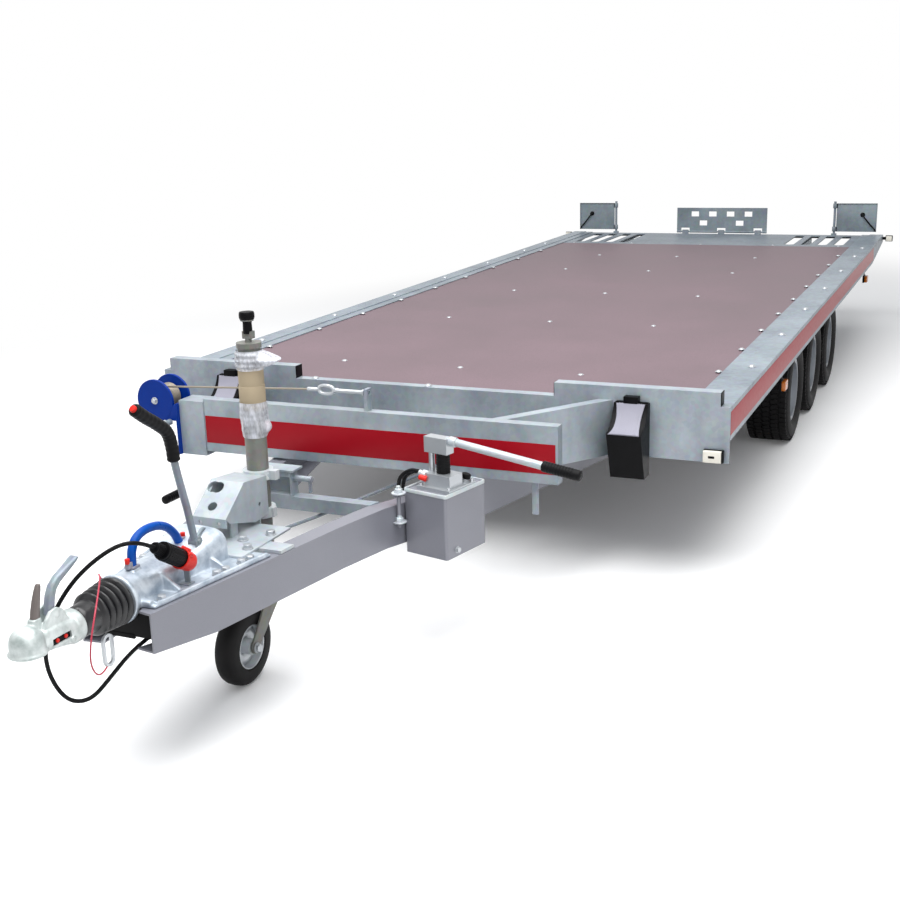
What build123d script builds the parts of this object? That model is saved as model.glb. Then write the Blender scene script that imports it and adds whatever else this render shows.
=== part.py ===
"""Three-axle tilt-bed car transporter trailer, millimetres.

The ground is Z = 0, +Y runs to the rear, +X is the trailer's left side, and the
origin lies on the centre line, midway between the coupling's nose and the lamps.
Lengths along the trailer are given behind the bed's front face and placed by y_at.
"""

from build123d import *

import os
from math import hypot, radians, tan

os.makedirs("parts", exist_ok=True)

# Overall layout
bed_length = 4995.0
bed_width = 2130.0
bed_top = 592.0  # top of the side rails
nose_reach = 2000.0  # coupling nose ahead of the bed's front face
board_back = 16.0  # light boards' rear face behind the bed's rear edge
lamp_depth = 50.0

# Bed
rail_height = 110.0
sheet = 4.0  # folded steel of the bed frame
rail_top_width = 84.0
rail_lip_width = 50.0  # flange over the deck's edge
rail_bottom_width = 42.0
front_height = 182.0  # front crossmember and front beam
flange = 40.0
deck_drop = 7.0
deck_thickness = 18.0
bearer_height = 58.0
bearer_width = 60.0
bearer_first = 330.0
bearer_count = 8
bed_beam_width = 40.0
bed_gap = 8.0  # bed frame above the chassis
rear_plate_length = 670.0
bearer_pitch = (bed_length - rear_plate_length - 5.0 - bearer_first) / (bearer_count - 1)
rear_plate_sheet = 6.0
slot_count = 4
slot_length = 520.0
slot_width = 60.0
slot_pitch = 101.0
slot_inset = 127.0  # outermost slot from the deck's edge
tail_taper = 640.0  # rails rise over this length at the rear
tail_rise = 62.0
beam_tail_height = 66.0

# Front frame
beam_reach = 379.0
beam_half_width = bed_width / 2 - 434.0
splay_front = bed_width / 2 - 613.0
splay_rear = bed_width / 2 - 376.0
stop_bar = 45.0
stop_bar_inner = bed_width / 2 - 575.0
stop_bar_inset = 31.0  # stop bars' outer ends from the bed's sides

# Chassis
arm_height = 120.0
arm_flange = 55.0
arm_sheet = 5.0
arm_top = 438.0
arm_nose_x = 102.0
arm_nose_y = -1677.0
arm_knee_y = -1000.0
arm_slope = 0.24
arm_deep_y = -1480.0  # where the arm reaches its full depth
arm_drop_y = -820.0
arm_nose_height = 98.0
rail_x = 616.0  # outer face of the chassis rails under the bed
chassis_end = 3168.0
chassis_tail_drop = 34.0
tube_member = 60.0
front_member_y = -790.0
rear_member_y = 1560.0

# Running gear
tyre_radius = 234.0
tyre_width = 195.0
track_outer = 1000.0  # outer faces of the tyres, from the centre line
shoulder = 20.0  # bevel between tread and sidewall
tyre_sides = 48  # flats round a tyre, few enough for six light solids
rim_radius = 127.0
rim_width = 150.0
rim_flange = 15.0
rim_sheet = 5.0
drum_radius = 100.0
axle_first = 1856.0
axle_pitch = 589.0
axle_count = 3
axle_tube = 80.0
axle_seat = 8.0
swing_arm = 160.0
spindle_radius = 17.0
running_fit = 0.08

# Bed pivot and lift cylinder
pivot_y = 3100.0
pivot_z = 346.0
pivot_radius = 22.0
cylinder_base_y = 450.0
cylinder_base_z = 336.0
rod_eye_y = 1250.0
rod_eye_z = 466.0
barrel_radius = 38.0
barrel_bore = 31.0
rod_radius = 19.0
eye_radius = 26.0
eye_pin_radius = 12.5
eye_width = 44.0
barrel_end = 640.0  # gland face from the base pin

# Jockey wheel
jockey_x = -25.0
jockey_y = -1000.0
jockey_tube_radius = 30.0
jockey_leg_radius = 24.0
jockey_tube_bottom = 306.0
jockey_tube_top = 918.0
jockey_wheel_radius = 110.0
jockey_wheel_width = 66.0
jockey_trail = 138.0

# Coupling and overrun device
ball_y = -1958.0
ball_z = 455.0
ball_radius = 25.0
draw_z = 455.0
draw_radius = 25.0
bellows_front = -1810.0
bellows_rear = -1668.0
bellows_radius = 60.0
housing_rear = -1262.0
foot_sheet = 8.0

# Hydraulic hand pump, square to the drawbar arm
tank_start = 264.3  # along the arm, behind its knee
tank_width = 150.0
tank_length = 190.0
tank_bottom = 286.0
tank_top = 474.0

lamp_reach = board_back + lamp_depth
bed_front = (nose_reach - bed_length - lamp_reach) / 2
wheel_x = track_outer - tyre_width / 2
half_width = bed_width / 2
deck_top = bed_top - deck_drop
deck_under = deck_top - deck_thickness
rail_inner = half_width - rail_top_width
deck_edge = rail_inner - 6.0
stop_bar_outer = half_width - stop_bar_inset
bed_bottom = bed_top - front_height
bearer_bottom = deck_under - bearer_height
chassis_top = bed_bottom - bed_gap
chassis_bottom = chassis_top - arm_height
arm_knee_x = arm_nose_x + 125.0
nose_slope = (arm_knee_x - arm_nose_x) / (arm_knee_y - arm_nose_y)
arm_bend_y = arm_knee_y + (rail_x - arm_knee_x) / arm_slope
flange_reach = arm_flange * hypot(1, arm_slope) + 0.2
splice_y = -beam_reach


def y_at(distance):
    return bed_front + distance


def arm_outer_x(distance):
    slope = arm_slope if distance > arm_knee_y else nose_slope
    return min(arm_knee_x + slope * (distance - arm_knee_y), rail_x)


def side_name(side):
    return "left" if side > 0 else "right"


def save(part, name):
    part.label = name
    export_step(part, f"parts/{name}.step")


def slab(x, y, z, mode=Mode.ADD):
    """A block between two values on each axis, y measured from the bed's front."""
    with BuildSketch(Plane.XY.offset(z[0])) as outline:
        with Locations(((x[0] + x[1]) / 2, y_at((y[0] + y[1]) / 2))):
            Rectangle(abs(x[1] - x[0]), abs(y[1] - y[0]))
    extrude(outline.sketch, amount=z[1] - z[0], mode=mode)


def rod(start, end, radius, mode=Mode.ADD):
    """A round bar between two points, y measured from the bed's front."""
    run = Vector(*end) - Vector(*start)
    with BuildSketch(Plane(origin=(start[0], y_at(start[1]), start[2]), z_dir=run)) as section:
        Circle(radius)
    extrude(section.sketch, amount=run.length, mode=mode)


def side_plate(x, outline, mode=Mode.ADD):
    """A plate across X with a side outline of (distance, height) points."""
    with BuildSketch(Plane.YZ.offset(x[0])) as profile:
        with BuildLine():
            Polyline(*[(y_at(d), h) for d, h in outline], close=True)
        make_face()
    extrude(profile.sketch, amount=x[1] - x[0], mode=mode)


def facing_front(distance):
    """Plane across the trailer whose sketches grow to the rear with a negative extrude."""
    return Plane(origin=(0, y_at(distance), 0), x_dir=(1, 0, 0), z_dir=(0, -1, 0))


# Drawbar arms and chassis rails: folded channels open to the inside, butt-welded at the splice
def plan_strip(side, inset, points):
    """A folded channel's plan, flange wide, its web's outer face along the points."""
    with BuildSketch(Plane.XY) as strip:
        with BuildLine():
            Polyline(*[(side * (x - inset), y_at(d)) for x, d in points])
            offset(amount=arm_flange, side=Side.LEFT if side > 0 else Side.RIGHT)
        make_face()
    return strip.sketch


def channel_space(side, inset, plan, outline):
    """What lies between the flanges, less inset, of a channel with that plan and side outline."""
    with BuildPart() as space:
        extrude(plan_strip(side, inset, plan), amount=bed_top)
        with BuildSketch(Plane.YZ.offset(-half_width)) as profile:
            with BuildLine():
                Polyline(*[(y_at(d), z) for d, z in outline], close=True)
            make_face()
        extrude(profile.sketch, amount=bed_width, mode=Mode.INTERSECT)
    return space.part


def arm_space(side, inset):
    past = inset / 2
    return channel_space(
        side,
        inset,
        [
            (arm_nose_x - nose_slope * past, arm_nose_y - past),
            (arm_knee_x, arm_knee_y),
            (arm_outer_x(splice_y) + arm_slope * past, splice_y + past),
        ],
        [
            (arm_nose_y - past, arm_top - arm_nose_height + inset),
            (arm_deep_y, arm_top - arm_height + inset),
            (arm_drop_y, arm_top - arm_height + inset),
            (splice_y + past, chassis_bottom + inset),
            (splice_y + past, chassis_top - inset),
            (arm_drop_y, arm_top - inset),
            (arm_nose_y - past, arm_top - inset),
        ],
    )


def rail_space(side, inset):
    past = inset / 2
    return channel_space(
        side,
        inset,
        [
            (arm_outer_x(splice_y) - arm_slope * past, splice_y - past),
            (rail_x, arm_bend_y),
            (rail_x, chassis_end + past),
        ],
        [
            (splice_y - past, chassis_bottom + inset),
            (chassis_end + past, chassis_bottom + inset),
            (chassis_end + past, chassis_top - chassis_tail_drop - inset),
            (pivot_y - 30, chassis_top - inset),
            (splice_y - past, chassis_top - inset),
        ],
    )


with BuildPart() as drawbar_arms:
    for side in (1, -1):
        add(arm_space(side, 0))
        add(arm_space(side, arm_sheet), mode=Mode.SUBTRACT)
    rod((0, arm_nose_y - 10, draw_z), (0, bellows_rear + 16, draw_z), bellows_radius + 6, Mode.SUBTRACT)
save(drawbar_arms.part, "drawbar_arms")

with BuildPart() as chassis_rails:
    for side in (1, -1):
        add(rail_space(side, 0))
        add(rail_space(side, arm_sheet), mode=Mode.SUBTRACT)
    rod((-rail_x, pivot_y, pivot_z), (rail_x, pivot_y, pivot_z), pivot_radius, Mode.SUBTRACT)
save(chassis_rails.part, "chassis_rails")


# Crossmembers, the bed's front rest with its latch, the cylinder's lugs and the pivot tube
def crossmember(distance, depth, top, height):
    reach = [arm_outer_x(distance + s * depth / 2) - flange_reach for s in (-1, 1)]
    with BuildSketch(Plane.XY.offset(top - height)) as outline:
        with BuildLine():
            Polyline(
                (-reach[0], y_at(distance - depth / 2)),
                (reach[0], y_at(distance - depth / 2)),
                (reach[1], y_at(distance + depth / 2)),
                (-reach[1], y_at(distance + depth / 2)),
                close=True,
            )
        make_face()
    extrude(outline.sketch, amount=height)


base_member_y = cylinder_base_y - 70.0
lug_sheet = 10.0
lug_gap = eye_width / 2 + 2.0
tie_y = -1600.0
cable_clip = Vector(74, -1556, 380)  # where the power cable meets its clip in the left arm

with BuildPart() as crossmembers:
    crossmember(front_member_y, 40, arm_top, 40)
    crossmember(base_member_y, tube_member, chassis_top - 12, 84)
    crossmember(rear_member_y, tube_member, chassis_bottom + 64, 56)
    for side in (1, -1):
        inner, outer = side * lug_gap, side * (lug_gap + lug_sheet)
        front, rear = base_member_y + tube_member / 2, cylinder_base_y + eye_radius
        side_plate(
            (inner, outer),
            [
                (front, cylinder_base_z - 40),
                (front, cylinder_base_z + 40),
                (cylinder_base_y, cylinder_base_z + eye_radius),
                (rear, cylinder_base_z + 10),
                (rear, cylinder_base_z - 10),
                (cylinder_base_y, cylinder_base_z - eye_radius),
            ],
        )
    pin_reach = lug_gap + lug_sheet + 6
    rod(
        (-pin_reach, cylinder_base_y, cylinder_base_z),
        (pin_reach, cylinder_base_y, cylinder_base_z),
        eye_pin_radius,
    )
    # rest and latch post of the bed, on the front member
    slab((-150, -40), (front_member_y - 20, front_member_y + 20), (arm_top, 512))
    slab((-146, -44), (front_member_y - 30, front_member_y + 14), (arm_top + 4, 496), Mode.SUBTRACT)
    slab((-160, -30), (front_member_y - 24, front_member_y + 34), (512, 518))
    rod((-41, front_member_y, 490), (20, front_member_y, 490), 9)
    slab((10, 16), (front_member_y - 5, front_member_y + 5), (450, 489))
    # tie plate between the arms' webs, under the housing
    slab(
        (arm_sheet - arm_outer_x(tie_y), arm_outer_x(tie_y) - arm_sheet),
        (tie_y, tie_y + 6),
        (arm_top - arm_nose_height + 6, draw_z - bellows_radius - 6),
    )
    slab(
        (cable_clip.X - 12, arm_outer_x(-1556) - arm_sheet),
        (cable_clip.Y, cable_clip.Y + 30),
        (cable_clip.Z - 14, cable_clip.Z + 14),
    )
    rod((-rail_x, pivot_y, pivot_z), (rail_x, pivot_y, pivot_z), pivot_radius)
save(crossmembers.part, "crossmembers")

# Overrun housing on the arms
housing_front = bellows_rear
foot_front = -1650.0
foot_inset = 12.0
foot_front_x, foot_rear_x = (arm_outer_x(d) - foot_inset for d in (foot_front, housing_rear))
throat = arm_nose_x - flange_reach
grab_feet = ((-1610, -1586, 510), (-1424, -1400, 502))
with BuildPart() as overrun_housing:
    with BuildSketch(facing_front(housing_front)):
        with Locations((0, draw_z)):
            Circle(bellows_radius)
    extrude(amount=-12)
    with BuildSketch(facing_front(housing_front + 12)):
        with Locations((0, draw_z)):
            Circle(bellows_radius - 6)
    with BuildSketch(facing_front(housing_front + 110)):
        with Locations((0, draw_z + 2)):
            RectangleRounded(104, 92, 30)
    loft(ruled=True)
    with BuildSketch(facing_front(housing_front + 110)):
        with Locations((0, draw_z + 2)):
            RectangleRounded(104, 92, 30)
    with BuildSketch(facing_front(housing_rear)):
        with Locations((0, draw_z - 10)):
            RectangleRounded(90, 66, 22)
    loft(ruled=True)
    for side in (1, -1):
        slab(
            (side * throat, side * (arm_nose_x + 60)),
            (housing_front, housing_rear),
            (arm_top - arm_height, arm_top),
            Mode.SUBTRACT,
        )
    with BuildSketch(Plane.XY.offset(arm_top)):
        with BuildLine():
            Polyline(
                (-foot_front_x, y_at(foot_front)),
                (foot_front_x, y_at(foot_front)),
                (foot_rear_x, y_at(housing_rear)),
                (-foot_rear_x, y_at(housing_rear)),
                close=True,
            )
        make_face()
    extrude(amount=foot_sheet)
    for front, rear, top in grab_feet:
        slab((-16, 16), (front - 2, rear + 2), (draw_z + 20, top))
    rod((0, bellows_rear, draw_z), (0, bellows_rear + 130, draw_z), draw_radius + 0.3, Mode.SUBTRACT)
save(overrun_housing.part, "overrun_housing")

# Bellows over the draw tube
pleat_count = 5
pleat_depth = 12.0
pleat_growth = 9.0  # from the first pleat's radius to the last one's
collar_length = 46.0
pleat_pitch = (bellows_rear - bellows_front - collar_length) / pleat_count
with BuildPart() as bellows:
    with BuildSketch(Plane(origin=(0, 0, draw_z), x_dir=(0, 1, 0), z_dir=(1, 0, 0))):
        with BuildLine():
            inner = draw_radius + 1.5
            valleys = [
                bellows_radius - pleat_depth - pleat_growth * (1 - k / pleat_count)
                for k in range(pleat_count + 1)
            ]
            Polyline(
                (y_at(bellows_rear), inner),
                (y_at(bellows_front), inner),
                (y_at(bellows_front), 36),
                (y_at(bellows_front + collar_length), valleys[0]),
            )
            for k in range(pleat_count):
                d = bellows_front + collar_length + k * pleat_pitch
                Polyline(
                    (y_at(d), valleys[k]),
                    (y_at(d + pleat_pitch / 2), bellows_radius - pleat_growth * (1 - (k + 1) / pleat_count)),
                    (y_at(d + pleat_pitch), valleys[k + 1]),
                )
            Line((y_at(bellows_rear), valleys[-1]), (y_at(bellows_rear), inner))
        make_face()
    revolve(axis=Axis((0, 0, draw_z), (0, 1, 0)))
save(bellows.part, "bellows")

# Coupling head with its ball socket, on the draw tube
neck_front, neck_rear = -1834.0, -1813.0
neck_radius = 39.0
shell_radius = 38.0
dome_z = ball_z + 17.0
lever_half = 11.0  # half the width of the handle's lever, between its two cheeks
cheek_top = 524.0
with BuildPart() as coupling_head:
    with Locations((0, y_at(ball_y), dome_z)):
        Sphere(shell_radius)
    with BuildSketch(Plane.XY.offset(dome_z)):
        with Locations((0, y_at(ball_y))):
            Circle(shell_radius + 60)
    extrude(amount=-80, mode=Mode.SUBTRACT)
    with BuildSketch(Plane.XY.offset(ball_z - 20)):
        with Locations((0, y_at(ball_y))):
            Circle(shell_radius + 4)
    with BuildSketch(Plane.XY.offset(ball_z + 6)):
        with Locations((0, y_at(ball_y))):
            Circle(shell_radius)
    loft()
    rod((0, ball_y, ball_z + 6), (0, ball_y, dome_z), shell_radius)
    with BuildSketch(facing_front(ball_y + 8)):
        with Locations((0, ball_z + 10)):
            RectangleRounded(66, 58, 20)
    with BuildSketch(facing_front(neck_front)):
        with Locations((0, draw_z)):
            Circle(neck_radius - 3)
    loft()
    rod((0, neck_front, draw_z), (0, neck_rear, draw_z), neck_radius)
    rod((0, neck_rear, draw_z), (0, bellows_rear + 130, draw_z), draw_radius)
    for d, h in ((-1899, 456), (-1871, 459)):
        rod((-40, d, h), (40, d, h), 8)
    with Locations((0, y_at(ball_y), ball_z)):
        Sphere(ball_radius + 0.3, mode=Mode.SUBTRACT)
    rod((0, ball_y, ball_z), (0, ball_y, ball_z - 40), ball_radius + 0.3, Mode.SUBTRACT)
    slab((-13, 13), (ball_y, -1890), (ball_z - 40, ball_z + 8), Mode.SUBTRACT)
    # casting round the handle's foot, with a slot for its lever
    side_plate((-20, 20), [(-1938, 474), (-1932, 518), (-1866, cheek_top), (-1846, 474)])
    slab((-lever_half - 1, lever_half + 1), (-1902, -1840), (500, cheek_top + 2), Mode.SUBTRACT)
save(coupling_head.part, "coupling_head")

with BuildPart() as coupling_handle:
    with BuildSketch(Plane.YZ.offset(-lever_half)):
        with BuildLine():
            FilletPolyline((y_at(-1882), 512), (y_at(-1872), 562), (y_at(-1790), 602), radius=24)
            offset(amount=9, side=Side.BOTH)
        make_face()
    extrude(amount=2 * lever_half)
    for side in (1, -1):
        rod((side * lever_half, -1882, 512), (side * (lever_half + 0.7), -1882, 512), 7)
    side_plate((-7, 7), [(-1932, 518.5), (-1914, 584), (-1901, 584), (-1906, 521)])
save(coupling_handle.part, "coupling_handle")

# Handbrake lever
brake_x = 63.0
with BuildPart() as handbrake_lever:
    with BuildLine() as brake_line:
        FilletPolyline(
            (brake_x, y_at(-1424), 514),
            (brake_x, y_at(-1474), 738),
            (brake_x, y_at(-1490), 822),
            (brake_x, y_at(-1612), 900),
            radius=24,
        )
    with BuildSketch(Plane(origin=brake_line.line @ 0, z_dir=brake_line.line % 0)):
        Circle(9)
    sweep(path=brake_line.line)
    with BuildLine() as grip_line:
        FilletPolyline(
            (brake_x, y_at(-1475), 744),
            (brake_x, y_at(-1490), 822),
            (brake_x, y_at(-1612), 900),
            radius=24,
        )
    with BuildSketch(Plane(origin=grip_line.line @ 0, z_dir=grip_line.line % 0)):
        Circle(14)
    sweep(path=grip_line.line)
    slab((brake_x - 9.5, brake_x + 14), (-1438, -1396), (arm_top + foot_sheet, 520))
save(handbrake_lever.part, "handbrake_lever")

# Arched grab handle on the housing
with BuildPart() as grab_handle:
    (front_foot, front_top), (rear_foot, rear_top) = (((a + b) / 2, top) for a, b, top in grab_feet)
    with BuildLine() as arch:
        FilletPolyline(
            (0, y_at(front_foot), front_top + 8),
            (0, y_at(front_foot + 8), 578),
            (0, y_at(rear_foot - 56), 578),
            (0, y_at(rear_foot), rear_top + 8),
            radius=44,
        )
    with BuildSketch(Plane(origin=arch.line @ 0, z_dir=arch.line % 0)):
        Circle(11)
    sweep(path=arch.line)
    for front, rear, top in grab_feet:
        slab((-13, 13), (front, rear), (top, top + 12))
save(grab_handle.part, "grab_handle")

# Jockey wheel: bracket, fixed tube with its crank, sliding leg, fork and wheel
bracket_half = 52.0
bracket_top = 546.0
bracket_rear = jockey_y + 48.0
base_top = arm_top + foot_sheet
bracket_throat = jockey_tube_radius + 6.0  # half the width of the bracket's notch round the tube
clamp_radius = jockey_tube_radius + 12.0
clamp_height = 26.0
with BuildPart() as jockey_bracket:
    reach = [arm_outer_x(d) - 3 for d in (jockey_y - 130, bracket_rear)]
    with BuildSketch(Plane.XY.offset(arm_top)):
        with BuildLine():
            Polyline(
                (-reach[0], y_at(jockey_y - 130)),
                (reach[0], y_at(jockey_y - 130)),
                (reach[1], y_at(bracket_rear)),
                (-reach[1], y_at(bracket_rear)),
                close=True,
            )
        make_face()
    extrude(amount=foot_sheet)
    for side in (1, -1):
        x = jockey_x + side * bracket_half
        side_plate(
            (x, x - side * 6),
            [
                (jockey_y - 124, base_top),
                (bracket_rear, base_top),
                (bracket_rear, bracket_top),
                (jockey_y - 48, bracket_top),
            ],
        )
    span = (jockey_x - bracket_half, jockey_x + bracket_half)
    side_plate(
        span,
        [
            (jockey_y - 124, base_top),
            (jockey_y - 48, bracket_top),
            (jockey_y - 42, bracket_top),
            (jockey_y - 117, base_top),
        ],
    )
    slab(span, (jockey_y - 48, bracket_rear), (bracket_top, bracket_top + 8))
    slab(span, (jockey_y - 130, jockey_y - 124), (332, arm_top))
    slope_mid = Vector(jockey_x - 14, y_at(jockey_y - 86), (base_top + bracket_top) / 2)
    slope_run = Vector(0, 76, bracket_top - base_top)
    with BuildSketch(Plane(origin=slope_mid, x_dir=(1, 0, 0), z_dir=slope_run.cross(Vector(-1, 0, 0)))):
        with GridLocations(10, 46, 1, 2):
            Circle(12)
    extrude(amount=20, both=True, mode=Mode.SUBTRACT)
    slab(
        (jockey_x - bracket_throat, jockey_x + bracket_throat),
        (jockey_y - bracket_throat, bracket_rear + 1),
        (arm_top - 1, bracket_top + 9),
        Mode.SUBTRACT,
    )
save(jockey_bracket.part, "jockey_bracket")

with BuildPart() as jockey_clamps:
    for low, ear in ((base_top, bracket_half - 6), (bracket_top + 8, clamp_radius + 20)):
        rod((jockey_x, jockey_y, low), (jockey_x, jockey_y, low + clamp_height), clamp_radius)
        slab(
            (jockey_x + jockey_tube_radius + 3, jockey_x + ear),
            (jockey_y - 10, jockey_y + 10),
            (low, low + clamp_height),
        )
        rod(
            (jockey_x, jockey_y, low - 1),
            (jockey_x, jockey_y, low + clamp_height + 1),
            jockey_tube_radius + running_fit,
            Mode.SUBTRACT,
        )
save(jockey_clamps.part, "jockey_clamps")

leg_gap = 0.3
leg_top = 760.0
fork_top = 272.0
with BuildPart() as jockey_tube:
    axis_point = (jockey_x, jockey_y)
    rod((*axis_point, jockey_tube_bottom), (*axis_point, jockey_tube_top), jockey_tube_radius)
    rod(
        (*axis_point, jockey_tube_bottom - 1),
        (*axis_point, jockey_tube_top - 12),
        jockey_leg_radius + leg_gap,
        Mode.SUBTRACT,
    )
    rod((*axis_point, jockey_tube_top), (*axis_point, jockey_tube_top + 14), jockey_tube_radius + 4)
    rod((*axis_point, jockey_tube_top), (*axis_point, jockey_tube_top + 30), 9)
    slab(
        (jockey_x - 14, jockey_x + 14),
        (jockey_y - 8, jockey_y + 12),
        (jockey_tube_top + 24, jockey_tube_top + 44),
    )
    rod((*axis_point, jockey_tube_top + 40), (*axis_point, 996), 10)
    rod((*axis_point, 990), (*axis_point, 1014), 18)
save(jockey_tube.part, "jockey_tube")

with BuildPart() as transit_sleeve:
    rod((*axis_point, 748), (*axis_point, 864), jockey_tube_radius + 6)
    rod((*axis_point, 740), (*axis_point, 870), jockey_tube_radius + 0.3, Mode.SUBTRACT)
save(transit_sleeve.part, "transit_sleeve")

with BuildPart() as jockey_leg:
    rod((*axis_point, fork_top + 8), (*axis_point, leg_top), jockey_leg_radius)
    rod((*axis_point, fork_top + 8), (*axis_point, fork_top + 14), jockey_tube_radius)
    rod((*axis_point, fork_top + 60), (*axis_point, leg_top + 1), jockey_leg_radius - 4, Mode.SUBTRACT)
save(jockey_leg.part, "jockey_leg")

hub_y = jockey_y - jockey_trail
fork_gap = jockey_wheel_width / 2 + 5.0
fork_sheet = 6.0
with BuildPart() as jockey_fork:
    rod((*axis_point, fork_top - 12), (*axis_point, fork_top + 7.7), jockey_tube_radius + 4)
    slab(
        (jockey_x - fork_gap - fork_sheet, jockey_x + fork_gap + fork_sheet),
        (jockey_y - 62, jockey_y + 34),
        (fork_top - 20, fork_top - 10),
    )
    for side in (1, -1):
        x = jockey_x + side * fork_gap
        side_plate(
            (x, x + side * fork_sheet),
            [
                (jockey_y + 34, fork_top - 10),
                (jockey_y - 62, fork_top - 10),
                (hub_y - 20, jockey_wheel_radius + 16),
                (hub_y - 20, jockey_wheel_radius - 18),
                (hub_y + 18, jockey_wheel_radius - 20),
                (jockey_y + 34, fork_top - 70),
            ],
        )
    axle_end = fork_gap + fork_sheet + 8
    rod(
        (jockey_x - axle_end, hub_y, jockey_wheel_radius),
        (jockey_x + axle_end, hub_y, jockey_wheel_radius),
        10,
    )
save(jockey_fork.part, "jockey_fork")

jockey_rim_radius = 62.0


def jockey_ring(outer, inner, width):
    with BuildSketch(Plane.YZ.offset(jockey_x - width / 2)) as ring:
        with Locations((y_at(hub_y), jockey_wheel_radius)):
            Circle(outer)
            Circle(inner, mode=Mode.SUBTRACT)
    extrude(ring.sketch, amount=width)


with BuildPart() as jockey_rim:
    jockey_ring(jockey_rim_radius, jockey_rim_radius - 5, 50)
    jockey_ring(jockey_rim_radius, 10 + running_fit, 10)
    jockey_ring(22, 10 + running_fit, jockey_wheel_width)
save(jockey_rim.part, "jockey_rim")

with BuildPart() as jockey_tyre:
    half = jockey_wheel_width / 2 - 2
    for out, radius in (
        (-half, jockey_wheel_radius - 18),
        (18 - half, jockey_wheel_radius),
        (half - 18, jockey_wheel_radius),
        (half, jockey_wheel_radius - 18),
    ):
        with BuildSketch(Plane.YZ.offset(jockey_x + out)):
            with Locations((y_at(hub_y), jockey_wheel_radius)):
                RegularPolygon(radius, 36)
    loft(ruled=True)
    with BuildSketch(Plane.YZ.offset(jockey_x - half)):
        with Locations((y_at(hub_y), jockey_wheel_radius)):
            Circle(jockey_rim_radius + 0.2)
    extrude(amount=2 * half, mode=Mode.SUBTRACT)
save(jockey_tyre.part, "jockey_tyre")

# Hydraulic hand pump on the left arm
arm_turn = Vector(arm_slope, 1, 0).normalized()
arm_out = Vector(arm_turn.Y, -arm_turn.X, 0)
tank_corner = Vector(arm_knee_x, y_at(arm_knee_y), 0) + arm_turn * tank_start + arm_out * 3


def tank_plane(height):
    """Plane on the tank's inner front corner: x outward, y back along the arm."""
    return Plane(origin=tank_corner + Vector(0, 0, height), x_dir=arm_out, z_dir=(0, 0, 1))


def tank_block(x, y, z, mode=Mode.ADD):
    with BuildSketch(tank_plane(z[0])) as outline:
        with Locations(((x[0] + x[1]) / 2, (y[0] + y[1]) / 2)):
            Rectangle(x[1] - x[0], y[1] - y[0])
    extrude(outline.sketch, amount=z[1] - z[0], mode=mode)


def tank_rod(start, end, radius):
    a, b = (tank_plane(0).from_local_coords(p) for p in (start, end))
    with BuildSketch(Plane(origin=a, z_dir=b - a)) as section:
        Circle(radius)
    extrude(section.sketch, amount=(b - a).length)


with BuildPart() as pump_tank:
    tank_block((0, tank_width), (0, tank_length), (tank_bottom, tank_top))
    fillet(pump_tank.edges().filter_by(Axis.Z), 8)
    tank_block((-3, 14), (-44, 0.5), (tank_top - 12, tank_top - 4))
    tank_block((-3, 14), (-44, 0.5), (tank_bottom + 92, tank_bottom + 98))
    tank_rod((6, -30, tank_bottom + 84), (6, -30, tank_top + 16), 6)
save(pump_tank.part, "pump_tank")

pump_x, pump_y = 92.0, 70.0
with BuildPart() as pump_body:
    tank_block((30, 146), (24, 150), (tank_top, tank_top + 10))
    tank_block((pump_x - 44, pump_x + 44), (pump_y - 30, pump_y + 30), (tank_top + 10, tank_top + 46))
    tank_rod((pump_x, pump_y, tank_top + 46), (pump_x, pump_y, tank_top + 104), 18)
    tank_rod((pump_x - 40, pump_y, tank_top + 40), (pump_x - 40, pump_y, tank_top + 110), 9)
    tank_block(
        (pump_x - 54, pump_x + 26), (pump_y - 17, pump_y + 17), (tank_top + 104, tank_top + 150)
    )
save(pump_body.part, "pump_body")

lever_root = (pump_x + 29, pump_y, tank_top + 136)
lever_tip = (pump_x + 400, pump_y + 40, tank_top + 96)
with BuildPart() as pump_lever:
    tank_rod(lever_root, lever_tip, 10)
    grip_from = tuple(a + (b - a) * 0.74 for a, b in zip(lever_root, lever_tip))
    tank_rod(grip_from, lever_tip, 14)
save(pump_lever.part, "pump_lever")


# Axles: rubber-sprung cross tube, trailing arms, backplates and spindles
def axle_y(index):
    return axle_first + index * axle_pitch


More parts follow.
